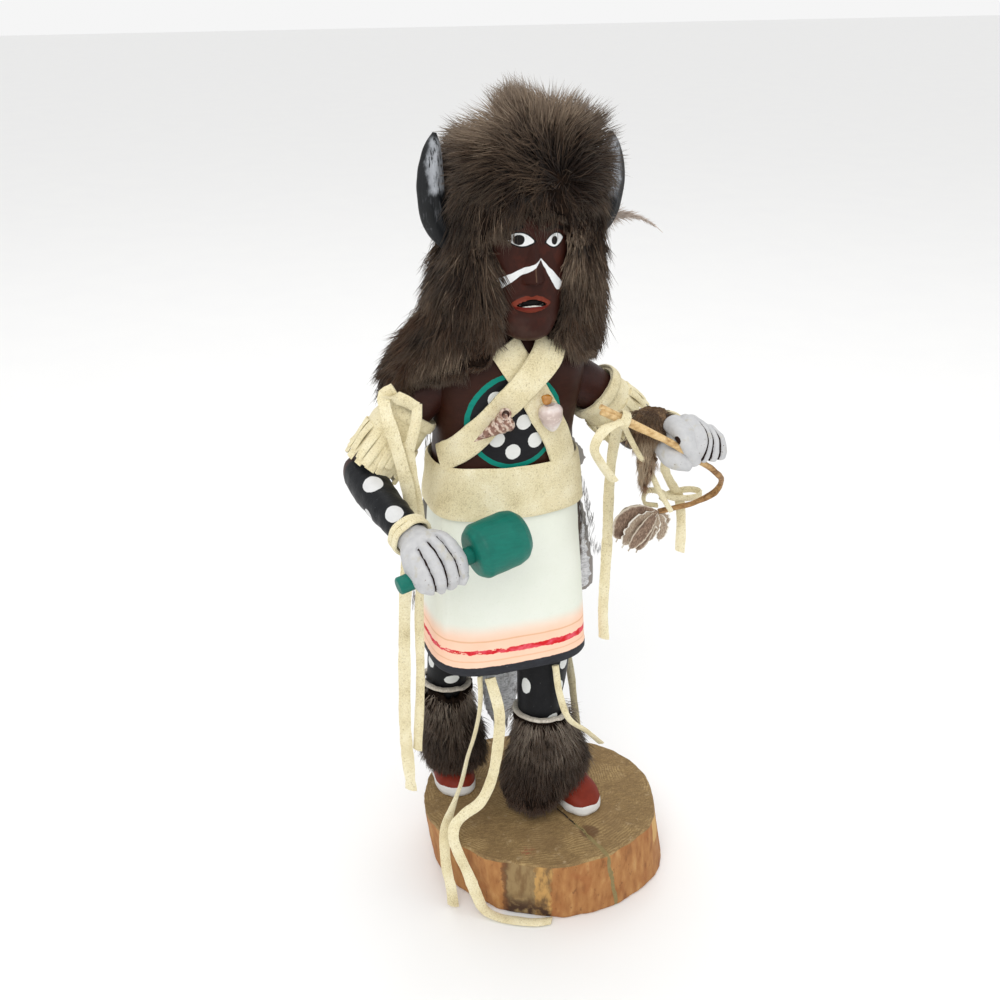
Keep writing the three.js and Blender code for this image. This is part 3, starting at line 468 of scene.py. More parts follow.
# Width, far end, path and, where the lace turns, the direction its width lies in along the way.
LACES = {
    "lace_a": (4.9, "bare", [
        (-50, -12.5, 221), (-46.4, -15.4, 205), (-43.6, -16.6, 187), (-45.4, -16.4, 165), (-46.9, -15, 143),
        (-47.8, -14, 109), (-48.2, -14, 86), (-46.6, -14, 55.5)], None),
    "lace_b": (3.7, "bare", [
        (-43, -12.8, 212), (-41.4, -15, 196), (-39.6, -16, 178), (-40.2, -15.5, 158), (-40.8, -14, 142),
        (-41.2, -14, 108), (-43.3, -14, 75)], None),
    "lace_c": (4.2, "bare", [
        (42.6, -12.8, 208), (40.6, -13.6, 198.5), (39.6, -13.6, 184.7), (39.2, -14.5, 160),
        (38.8, -14.4, 141),
        (38.6, -14.4, 126), (39.4, -14.6, 113)], None),
    "lace_d": (4.5, "bare", [
        (-16.2, -15.6, 106.6), (-16.7, -17, 93), (-19.4, -17.7, 80), (-22.6, -18.1, 70), (-26, -19.1, 57.5),
        (-30, -19.8, 47.8), (-34.4, -21.5, 37.1), (-35.4, -24.2, 29.6), (-35.4, -26.2, 21), (-34, -28, 10.6),
        (-33.4, -28.6, 1.4)],
        [(0, 0.7, 0.7, 0), (0.45, 0.7, 0.7, 0), (0.75, 0.94, -0.34, 0), (1, 0.94, -0.34, 0)]),
    "lace_e": (4.7, "bare", [
        (-12.3, -16.9, 105.3), (-9.4, -20, 90), (-9.8, -21, 79.3), (-13.8, -22.7, 58.8), (-19.4, -23.5, 48.6),
        (-26.3, -24.3, 45.2), (-31.2, -25.8, 41.6), (-32.4, -27.4, 36.4), (-30.9, -28.8, 29.6),
        (-27.6, -31.3, 20), (-24.9, -34.4, 10.6), (-22.2, -37.6, 3.6), (-17, -41.6, 1.2), (-9.8, -46.2, 1.2),
        (-3.4, -49.2, 1.2), (3.8, -50.6, 1.2)],
        [(0, 0.94, -0.34, 0), (0.3, 0.94, -0.34, 0), (0.4, 0.5, -0.5, -0.7), (0.5, 0.5, -0.5, -0.7),
         (0.57, 0.94, -0.34, 0),
         (0.74, 0.94, -0.2, 0.1), (0.82, 0.66, 0.74, 0.1), (1, 0.34, 0.94, 0)]),
    "lace_f": (3.0, "bare", [
        (16.4, -17.4, 106), (18, -18.8, 92.6), (22.2, -20, 79.6), (30.4, -19, 71.4), (41, -12, 58)], None),
    "lace_g": (4.0, "bare", [(30.6, 9, 104), (33.6, 9.6, 90), (36, 9, 72), (38, 8, 52.5)],
               [(0, 0.6, -0.8, 0), (1, 0.6, -0.8, 0)]),
    "lace_h": (3.9, "bare", [
        (53.4, -34.8, 200), (54.8, -31.6, 195.4), (58.6, -27.6, 189.4), (62.6, -24.6, 183.8),
        (66, -23.2, 178.4), (67.4, -23, 172), (68.1, -23, 163), (68.2, -23, 153.4)], None),
    "tie_tail": (3.6, "bare", [
        (27.4, -49, 224.4), (20, -50.4, 222.4), (16.6, -50, 216), (20.4, -48, 208.4), (26.6, -46, 200)],
        None),
    "bow_string": (2.3, "object", [
        (31, -42, 221), (38.6, -39, 208), (48.2, -34.6, 194), (52.4, -32.6, 186.6), (58.9, -30.9, 176.4)],
        None),
    "bow_loops": (2.6, "bare", [
        (56, -24.4, 176.6), (50.4, -24, 178.4), (50.8, -24, 183.2), (55.4, -24.2, 183), (61, -25.8, 180),
        (68.2, -26.2, 178.8), (74.2, -25, 178.6), (76, -22.6, 178.9), (73.6, -20.4, 179.4),
        (68, -20, 179.6), (62, -20.4, 178.8), (58.8, -21.6, 177.4)],
        [(0, 0, 1, 0.4), (0.09, 0, 1, 0.4), (0.3, 0, 0.5, 0.86), (0.45, 0, 0.2, 1), (1, 0, 0.2, 1)]),
}


def ribbon(route, width, thick, seed, facing=VIEW_SIDE, cup=0.12, cut=0.0):
    """A strip of suede along a route, uneven in width and cupped across; also the line of its middle."""
    curve = Route(route)
    s = np.linspace(0, 1, max(6, int(round(curve.length / RIBBON_STEP)) + 1))
    turn = (lambda q: along(facing, q)[:, 1:]) if isinstance(facing, list) else facing
    girth = [(0, width / 2, thick / 2, 3.2), (1, width / 2, thick / 2, 3.2)]
    flat = limb(curve, girth, s, around(10), side=turn)
    mid = flat.mean(1, keepdims=True)
    off = flat - mid
    across = unit(flat[:, 0] - mid[:, 0])[:, None]
    w = dot(off, across)
    wide = 1 + 0.07 * ripple(mid, 13, seed)[..., None] + 0.04 * ripple(mid, 4, seed + 1)[..., None]
    up = np.cross(across[:, 0], curve.tangent(s))[:, None]
    bend = cup * thick * ((w / (width / 2)) ** 2 - 0.5) * ripple(mid, 30, seed + 2)[..., None] * 2
    grid = mid + off + across * w * (wide - 1) + up * bend
    grid[-1] += curve.tangent([1.0])[0] * (w[-1] / width) * cut * width
    return net(grid), mid[:, 0]


for number, (name, (width, end, path, facing)) in enumerate(LACES.items()):
    shape, line = ribbon(path, width, STRIP_T, 40 + number, facing or VIEW_SIDE,
                         cut=0 if end == "object" else 0.35)
    piece = make(name + "_strip", shape, SUEDE, [name], crease=50)
    line = line * MM


# ---- floor and light ----
def plane(name, size, z, material):
    me = bpy.data.meshes.new(name)
    corners = [(-size, -size, z), (size, -size, z), (size, size, z), (-size, size, z)]
    me.from_pydata(corners, [], [(0, 1, 2, 3)])
    me.materials.append(material)
    o = bpy.data.objects.new(name, me)
    SCENE.collection.objects.link(o)


def area(name, at, towards, size, watts, colour=(1, 1, 1)):
    data = bpy.data.lights.new(name, "AREA")
    data.shape, data.size, data.energy, data.color = "DISK", size, watts, colour
    o = bpy.data.objects.new(name, data)
    o.location = at
    o.rotation_euler = (Vector(towards) - Vector(at)).to_track_quat("-Z", "Y").to_euler()
    SCENE.collection.objects.link(o)


floor = Mat("floor")
tone = floor.mix(floor.noise(60, 2), rgb(240, 240, 240), rgb(243, 243, 242))
plane("floor", 6, 0.0, floor.finish(tone, 0.95))
area("key", (-0.55, -0.95, 1.15), (0, 0, 0.17), 0.9, 7.5, (1, 0.985, 0.96))
area("fill", (1.1, -0.7, 0.7), (0, 0, 0.15), 0.9, 1.2, (0.95, 0.98, 1))
area("top", (0.1, 0.4, 1.3), (0, 0, 0.2), 0.8, 3)
world = bpy.data.worlds.new("studio")
world.use_nodes = True
world.node_tree.nodes["Background"].inputs["Color"].default_value = (1, 1, 1, 1)
world.node_tree.nodes["Background"].inputs["Strength"].default_value = 0.92
SCENE.world = world
SCENE.view_settings.view_transform = "Standard"


# ---- base: slice of a branch ----
BASE_H, BASE_R, BASE_OVAL, BASE_OVAL_AT = 30, 50.2, 2.6, -27
BASE_TOP, BASE_FOOT = (15, -3.4), (20, -3.1)
BASE_CUTS = [(-121, 17, 1.6), (-152, 13, 0.9), (-58, 14, 1.1), (-20, 16, 0.9), (64, 18, 1.2), (158, 14, 1)]
KNOT, RED_SPOT = (26.9, -34.3, BASE_H), (-2.6, -38, BASE_H)
CRACK = [(19.6, -14.5), (23.5, -26.7), (25.6, -37.4), (28.6, -51.5)]
CRACK_FOOT, PITH = (34.3, -49.6, 0), (14, 6)


def base_radius(phi):
    """The slice's radius: oval, a little uneven, with flats where the knife took the bark off."""
    r = BASE_R + BASE_OVAL * np.cos(2 * (phi - math.radians(BASE_OVAL_AT)))
    r = r + 0.7 * np.cos(3 * phi) - 0.5 * np.cos(5 * phi + 1)
    for at, wide, deep in BASE_CUTS:
        away = np.abs((np.degrees(phi) - at + 540) % 360 - 180) / wide
        r = r - deep * np.clip(1 - away * away, 0, None)
    return r


def base_shape():
    phi = around(240)
    heights = np.concatenate([[0, 0.35, 1, 2], np.linspace(3.2, 27.4, 19), [28.4, 29.1, 29.6, 29.9]])
    z = np.broadcast_to(heights[:, None], (len(heights), len(phi)))
    p = np.broadcast_to(phi[None], z.shape)
    round_edge = 0.9 * np.clip(1 - z / 1.6, 0, 1) ** 2 + 0.7 * np.clip((z - 28.6) / 1.4, 0, 1) ** 2
    r = base_radius(p) - round_edge
    around_at = np.stack([np.cos(p) * 50, np.sin(p) * 50, z * 0.45], -1)
    r = r + 0.28 * ripple(around_at, 11, 5) + 0.12 * ripple(around_at, 3.5, 6)
    cx, cy = (low + (high - low) * z / BASE_H for low, high in zip(BASE_FOOT, BASE_TOP))
    side = np.stack([cx + r * np.cos(p), cy + r * np.sin(p), z], -1)
    rim = side[-1]
    middle = np.array([BASE_TOP[0], BASE_TOP[1], BASE_H])
    rings = []
    for s in np.linspace(0.992, 0.03, 48):
        ring = middle + (rim - middle) * s
        ring[:, 2] = BASE_H - 0.1 + 0.09 * ripple(ring, 7, 8) + 0.05 * ripple(ring, 2.2, 9)
        rings.append(ring)
    foot = np.array([BASE_FOOT[0], BASE_FOOT[1], 0.0])
    under = [foot + (side[0] - foot) * s for s in (0.05, 0.35, 0.7, 0.93)]
    grid = np.concatenate([np.stack(under), side, np.stack(rings)])
    # The crack is open near the pith, where it is painted near black as shade in the gap, and filled towards
    # the edge and down the side.
    line = [(x, y, BASE_H) for x, y in CRACK] + [CRACK_FOOT]
    wave = grid + np.array([1, 0, 0]) * (0.35 * ripple(grid, 6, 11))[..., None]
    away = [segment_distance(wave, a, b)[0] for a, b in zip(line[:-1], line[1:])]
    near = np.minimum(away[0], away[1] + 0.12)
    filled = np.min([away[1] + 0.3] + away[2:], 0)
    dip = np.exp(-(near / 0.9) ** 2) * 0.7 + np.exp(-(filled / 1.3) ** 2) * 0.3
    on_top = grid[..., 2] > 28.9
    grid[..., 2] -= np.where(on_top, dip, 0)
    inward = unit(np.stack([grid[..., 0] - 17, grid[..., 1] + 3.2, np.zeros(dip.shape)], -1))
    grid -= inward * np.where(on_top, 0, dip)[..., None]
    turn = np.degrees(np.arctan2(grid[..., 1] - BASE_FOOT[1], grid[..., 0] - BASE_FOOT[0]))
    return net(grid, crack=near - 0.34, filled=filled - 1.0, top=on_top * 1.0, turn=turn,
               pith=np.hypot(grid[..., 0] - PITH[0], grid[..., 1] - PITH[1]))


def base_material():
    m = Mat("branch_wood")
    top = m.attr("top")
    wander = m.plus(m.attr("pith"), m.times(m.noise(17, 2), 7.0))
    year = m.plus(m.times(m.calc("SINE", m.times(wander, 4.6)), 0.5), 0.5)
    fine = m.noise(0.5, 4, 0.7)
    streak = m.noise(0.9, 4, 0.7, (2.6, 1, 1), (3, 5, 1))
    shown = m.span(m.noise(13, 2, shift=(8, 2, 5)), 0.4, 0.62, 0.0, 0.13)
    colour = m.ramp(m.plus(m.plus(m.times(fine, 0.4), m.times(streak, 0.4)),
                           m.times(year, shown)),
                    (0.25, rgb(92, 70, 40)), (0.42, rgb(134, 108, 68)), (0.56, rgb(166, 140, 94)),
                    (0.75, rgb(200, 178, 132)))
    stain = m.span(m.noise(22, 3, 0.6), 0.42, 0.68)
    colour = m.tint(colour, rgb(118, 92, 58), stain, 0.5)
    pale = m.span(m.noise(5, 3, 0.7, (1, 1, 1), (4, 9, 2)), 0.58, 0.75)
    colour = m.tint(colour, rgb(206, 186, 150), pale, 0.35)
    ring = m.times(m.span(year, 0.86, 1.0), m.span(m.noise(6, 2, shift=(3, 3, 3)), 0.52, 0.66))
    colour = m.tint(colour, rgb(88, 64, 38), ring, 0.5)
    pock = m.span(m.noise(0.8, 2, shift=(2, 8, 5)), 0.68, 0.75)
    colour = m.tint(colour, rgb(64, 44, 26), pock, 0.7)
    # The side, cut with a knife down to reddish wood.
    grain = m.noise(3.4, 4, 0.5, (1, 1, 3))
    side = m.ramp(grain, (0.25, rgb(118, 72, 34)), (0.42, rgb(156, 104, 56)), (0.6, rgb(172, 122, 70)),
                  (0.8, rgb(190, 148, 94)))
    side = m.tint(side, rgb(150, 88, 44), m.span(m.noise(12, 3, 0.6, (1, 1, 1.5), (1, 2, 7)), 0.5, 0.68), 0.6)
    bark = m.span(m.noise(3.2, 4, 0.7, (1, 1, 2.2), (9, 9, 9)), 0.6, 0.68)
    side = m.tint(side, rgb(92, 52, 26), bark, 0.55)
    # Knife facets: a pale one in front with a darker foot, a small one to its right.
    edge = m.sway(m.noise(3, 2), 5)
    turn = m.plus(m.attr("turn"), edge)
    facet = m.times(m.span(turn, -133, -131.5), m.span(turn, -108.5, -110))
    ochre = m.span(turn, -118, -117)
    cut = m.mix(ochre, rgb(146, 122, 82), rgb(188, 146, 84))
    cut = m.mix(m.span(m.noise(3, 3, 0.6, (1, 1, 3)), 0.4, 0.7), cut, rgb(120, 92, 56))
    high = m.axis(2)
    cut = m.mix(m.times(m.span(high, 15, 4), m.span(m.noise(6, 3), 0.38, 0.55)), cut, rgb(66, 42, 24))
    side = m.mix(facet, side, cut)
    small = m.times(m.times(m.span(turn, -44, -43), m.span(turn, -33, -34)),
                   m.span(high, 17, 19))
    side = m.mix(small, side, rgb(196, 156, 96))
    seam = m.times(m.span(turn, -134.5, -133), m.span(turn, -130.5, -132))
    side = m.tint(side, rgb(84, 48, 24), seam, 0.7)
    colour = m.mix(m.span(top, 0.3, 0.7), side, colour)
    knot = m.span(m.plus(m.away(KNOT), m.times(edge, 0.5)), 5.2, 3.2)
    colour = m.tint(colour, rgb(92, 62, 36), knot, 0.8)
    red = m.times(m.span(m.away(RED_SPOT), 4.2, 0.5), m.span(m.noise(1.6, 3), 0.45, 0.6))
    colour = m.tint(colour, rgb(150, 70, 50), red, 0.7)
    colour = m.mix(m.painted("filled", 0.5, 2), colour,
                   m.mix(m.noise(2), rgb(112, 96, 58), rgb(150, 134, 88)))
    # Near black along the open crack: painted shade in the gap.
    colour = m.mix(m.painted("crack", 0.35, 1.2), colour, rgb(30, 18, 10))
    m.bump(m.plus(m.times(fine, 0.5), grain), 0.5, 0.5)
    m.bump(streak, 0.3, 0.5)
    return m.finish(colour, 0.85)


make("base_slice", base_shape(), base_material(), ["base"], crease=35)


# ---- body: torso, kilt, legs and moccasins ----
HEM_Z = 108.5
TORSO = [
    (HEM_Z, 0.4, 3, 32.4, 23, 3.3), (HEM_Z + 1.6, 0.4, 3, 33.2, 23.7, 3.3),
    (135, 0.2, 3, 32.2, 22.9, 3.2), (178, -0.2, 3, 29.6, 20.6, 3),
    (199, -0.2, 3, 28, 19.2, 2.6), (212, 0.3, 3, 27.9, 19.5, 2.5), (228, 1.3, 3, 30.4, 19.5, 2.5),
    (237, 2, 3, 29.4, 18.4, 2.4), (244, 2.5, 2.5, 23.4, 16, 2.3),
    (249, 2.9, 1.6, 15.4, 12.8, 2.1), (254, 3.2, 0, 9.5, 9.5, 2),
]
LEGS = {
    "right": ([(-18, 16, 118), (-19, 20, 98), (-19.6, 22.6, 80), (-19.2, 23, 60), (-19, 23.5, 40)],
              (-18.2, 20.5), -3),
    "left": ([(15.4, -3.6, 118), (15.3, -4.6, 98), (14, -6, 79), (20, -5.5, 58), (27, -3.5, 40)],
             (29.2, -10.5), 17),
}
LEG_GIRTH = {
    "right": [(0, 9.4, 9.4, 2), (0.3, 9, 9, 2), (0.55, 8.6, 8.6, 2), (0.85, 7.4, 7.4, 2), (1, 7.2, 7.6, 2)],
    "left": [(0, 12, 11, 2), (0.18, 11.6, 10.6, 2), (0.34, 10.2, 9.8, 2), (0.5, 9.2, 9.2, 2),
             (0.85, 7.4, 7.4, 2), (1, 7.2, 7.6, 2)],
}
FOOT = [
    (BASE_H + 0.3, 0, 8.8, 13.9, 2.5), (BASE_H + 2, 0, 9.4, 14.6, 2.5),
    (BASE_H + 6.5, -0.6, 9.1, 13.7, 2.4), (BASE_H + 10.5, -3.4, 8, 10.2, 2.3), (BASE_H + 14, -5, 7, 7.4, 2.1),
]
LEG_DOTS = [   # place, half width and half height of each white dot
    (-20, 12.3, 88.6, 3.6, 2.2), (-28.6, 18, 96, 2.6, 3), (-14, 14.5, 101, 2.6, 2.6), (-24, 31, 84, 3, 3),
    (5.5, -10.4, 93.8, 2.6, 3.8), (20.4, -14.1, 92.2, 2.6, 3.2), (22.1, -13.4, 103.6, 2.6, 3),
    (16.8, -14.8, 78.6, 3, 1.6), (3.5, 3, 88, 2.6, 3), (20, 4, 84, 2.6, 3),
]
KILT_LINES = ((124.6, 0.55, 0.6), (115.6, 0.5, 0.5))   # height, half width and strength of the tan lines
HEM_TOP, SKIN_FROM = 113.25, 188
CHEST_AT, CHEST_R, CHEST_RIM = (-1.5, 216.5), 19.2, 1.9
CHEST_DOTS = [(1.9, 215.8), (-8.9, 209.8), (-2.5, 204.1), (6.5, 207.9), (-9.3, 225.9), (4.4, 229),
              (13.2, 216.8)]


def torso_shape():
    z = np.concatenate([[HEM_Z, HEM_Z + 0.25, HEM_Z + 0.8], np.arange(HEM_Z + 1.6, 254, 1.3), [254]])
    grid = tower(TORSO, z, around(150))
    x, y, h = grid[..., 0], grid[..., 1], grid[..., 2]
    out = unit(np.stack([x - 0.3, (y - 3) * 1.3, np.zeros(x.shape)], -1))
    # The black hem stands a little proud, and the kilt laps over itself at the right front corner.
    hem = 0.35 * np.clip((113.2 - h) / 0.5, 0, 1)
    lap = 0.8 * np.clip(1 - np.abs((x + 29.8 - 0.02 * (h - 110)) / 1.3), 0, 1)
    lap = lap * (y < 0) * np.clip((h - 122) / 6, 0, 1)
    wave = 0.16 * ripple(grid, 16, 21) + 0.05 * ripple(grid, 5, 22)
    grid = grid + out * (hem + lap * (h < 180) + wave)[..., None]
    grid[0] = grid[0] * 0.02 + grid[0].mean(0) * 0.98
    dots = np.min([np.hypot(x - a, h - b) - 3.1 for a, b in CHEST_DOTS], 0)
    front = (y < -2) & (h > 186)
    ring = np.hypot(x - CHEST_AT[0], h - CHEST_AT[1]) - CHEST_R
    return net(grid, kind=0, chest=np.where(front, ring, OUTSIDE), dots=np.where(front, dots, OUTSIDE),
               red=np.abs(h - 119.6 + 0.25 * ripple(grid, 26, 23)) - 0.85 - 0.4 * rise(x, -9, -2))


def foot_shape(side):
    _, (fx, fy), turn = LEGS[side]
    rows = [(z, 0, -fwd, w, l, n) for z, fwd, w, l, n in FOOT]
    z = np.concatenate([[BASE_H + 0.3, BASE_H + 0.5, BASE_H + 1], np.linspace(BASE_H + 1.6, BASE_H + 14, 22)])
    grid = tower(rows, z, around(72))
    h = grid[..., 2]
    # The toe is fuller on the big toe's side, and the sole is pared in at the waist of the foot.
    inner = 1 if side == "right" else -1
    x, y = grid[..., 0], grid[..., 1]
    x = x * (1 - 0.09 * np.exp(-((y - 2) / 4.5) ** 2)) + inner * 0.7 * np.clip(-y / 12, 0, 1) ** 2
    c, s = math.cos(math.radians(turn)), math.sin(math.radians(turn))
    grid = np.stack([fx + x * c - y * s, fy + x * s + y * c, h], -1)
    grid += 0.1 * ripple(grid, 5, 31)[..., None]
    return net(grid, kind=2, sole=h - (BASE_H + 4.9 + 0.5 * ripple(grid, 7, 32)))


def leg_shape(side):
    path = Route(LEGS[side][0])
    grid = limb(path, LEG_GIRTH[side], np.linspace(0, 1, 56), around(44), side=(1, 0, 0))
    grid = grid + (grid - grid.mean(1, keepdims=True)) * 0.012 * ripple(grid, 9, 33)[..., None]
    dots = []
    for x, y, z, w, h in LEG_DOTS:
        flat = np.hypot(grid[..., 0] - x, grid[..., 1] - y)
        dots.append((np.sqrt((flat / w) ** 2 + ((grid[..., 2] - z) / h) ** 2) - 1) * w)
    return net(grid, kind=1, spots=np.min(dots, 0))


def body_material():
    m = Mat("body_paint")
    kind = m.attr("kind")
    high = m.axis(2)
    wobble = m.sway(m.noise(18, 2), 1.6)
    level = m.plus(high, wobble)
    brush = m.noise(1.6, 4, 0.6, (3, 3, 1))
    # Kilt: chalky greenish white, a blush towards the hem with two tan lines, a red line and a black hem.
    cloth = m.mix(m.noise(20, 3), rgb(221, 226, 212), rgb(234, 236, 228))
    cloth = m.tint(cloth, rgb(204, 206, 190), m.span(m.noise(1, 3, 0.7), 0.55, 0.75), 0.2)
    blush = m.mix(m.noise(9, 3), rgb(244, 196, 168), rgb(250, 212, 188))
    cloth = m.mix(m.span(level, 133, 124.2), cloth, blush)
    for at, wide, strength in KILT_LINES:
        gap = m.calc("ABSOLUTE", m.minus(level, at))
        cloth = m.mix(m.times(m.span(gap, wide, wide * 0.3), strength), cloth, rgb(216, 166, 122))
    broken = m.sway(m.noise(2.2, 4, 0.75, (2, 2, 1)), 2.6)
    stroke = m.span(m.plus(m.attr("red"), broken), 0.12, -0.12)
    red = m.mix(m.span(m.noise(5, 3, 0.6, (1.5, 1, 1)), 0.42, 0.62), rgb(206, 30, 38), rgb(226, 88, 104))
    red = m.mix(m.span(m.noise(1.3, 3, 0.7, (2, 2, 1)), 0.6, 0.7), red, rgb(150, 16, 24))
    cloth = m.mix(stroke, cloth, red)
    hem = m.span(m.plus(level, m.times(m.noise(1.5, 3), 0.5)), HEM_TOP + 0.1, HEM_TOP - 0.1)
    cloth = m.mix(hem, cloth, m.mix(brush, rgb(26, 26, 30), rgb(58, 60, 66)))
    scuff = m.times(hem, m.span(m.noise(0.9, 3, 0.7, (2.5, 2.5, 1)), 0.66, 0.74))
    cloth = m.tint(cloth, rgb(120, 112, 108), scuff, 0.5)
    # Chest: brown skin with a black disc, teal rim and white dots.
    skin = m.mix(brush, rgb(38, 18, 11), rgb(58, 28, 18))
    skin = m.mix(m.painted("chest", 0.3, 3), skin, m.mix(brush, rgb(0, 112, 100), rgb(8, 140, 122)))
    inside = m.sway(m.noise(3, 2, shift=(5, 5, 5)), 0.6)
    disc = m.span(m.plus(m.plus(m.attr("chest"), CHEST_RIM), inside), 0.07, -0.07)
    skin = m.mix(disc, skin, m.mix(brush, rgb(14, 14, 16), rgb(34, 34, 38)))
    skin = m.mix(m.painted("dots", 0.3, 3), skin, m.mix(brush, rgb(214, 216, 214), rgb(232, 233, 230)))
    torso = m.mix(m.span(high, SKIN_FROM - 0.1, SKIN_FROM + 0.1), cloth, skin)
    # Legs: black with white dots. Moccasins: brick red over a white sole band.
    leg = m.mix(m.noise(2, 4, 0.6), rgb(10, 10, 12), rgb(25, 26, 29))
    leg = m.tint(leg, rgb(120, 122, 126), m.span(m.noise(0.8, 2, 0.6), 0.7, 0.76), 0.35)
    leg = m.mix(m.painted("spots", 0.25, 3), leg, m.mix(brush, rgb(205, 208, 206), rgb(228, 230, 228)))
    shoe = m.mix(m.noise(3, 4, 0.6), rgb(98, 30, 18), rgb(134, 48, 30))
    shoe = m.mix(m.painted("sole", 0.5, 4), shoe, m.mix(brush, rgb(206, 206, 204), rgb(228, 227, 224)))
    colour = m.mix(m.span(kind, 0.4, 0.6), torso, leg)
    colour = m.mix(m.span(kind, 1.4, 1.6), colour, shoe)
    m.bump(m.noise(0.7, 3, 0.6), 0.12, 0.4)
    m.bump(brush, 0.2, 0.5)
    gloss = m.span(kind, 0.4, 0.6, m.span(high, SKIN_FROM - 0.1, SKIN_FROM + 0.1, 0.68, 0.45), 0.5)
    return m.finish(colour, gloss, Specular_IOR_Level=0.16)


body = join([torso_shape()] + [part(side) for side in LEGS for part in (leg_shape, foot_shape)])
make("carved_figure", body, body_material(), ["body"], crease=50)


# ---- head ----
HEAD_AT, HEAD_TURN = (3.6, -5.5), -5
HEAD = [
    (249.6, 0, -12.4, 5, 4.6, 2.1), (251.4, 0, -10.6, 8.4, 8.6, 2.2), (255, 0, -7, 11.4, 12.6, 2.3),
    (260.4, 0, -3.2, 13.8, 16.2, 2.4), (267, 0, -1.4, 15.4, 17.6, 2.5), (275, 0, -0.6, 16.4, 18.2, 2.5),
    (284, 0, 0, 17, 19, 2.5), (293, 0, 0, 16.8, 18.6, 2.4), (302, 0, 0, 13.6, 15.2, 2.2),
    (308, 0, 0, 7.6, 8.4, 2.1), (310, 0, 0, 3, 3.4, 2),
]


BROWS = [   # the ends of each painted stroke and half its width
    (((6.6, 0, 290.2), (10.2, 0, 291.3)), 0.75), (((10.2, 0, 291.3), (14, 0, 289.6)), 0.75),
    (((-7, 0, 290.4), (-2.5, 0, 291.6)), 0.7),
]
# White stripes widen from the bridge of the nose to the cheeks: far end and half its width.
BRIDGE, CHEEKS = (4.6, 0, 280.0), [((-10.6, 0, 270.2), 1.9), ((12.4, 0, 269.6), 1.8)]
NOSE_Z, MOUTH = (271.9, 286.5), (-0.6, 263.9)


def head_place(x, y, z):
    """From the head's own frame to the doll's."""
    c, s = math.cos(math.radians(HEAD_TURN)), math.sin(math.radians(HEAD_TURN))
    return np.stack([HEAD_AT[0] + x * c - y * s, HEAD_AT[1] + x * s + y * c, z], -1)


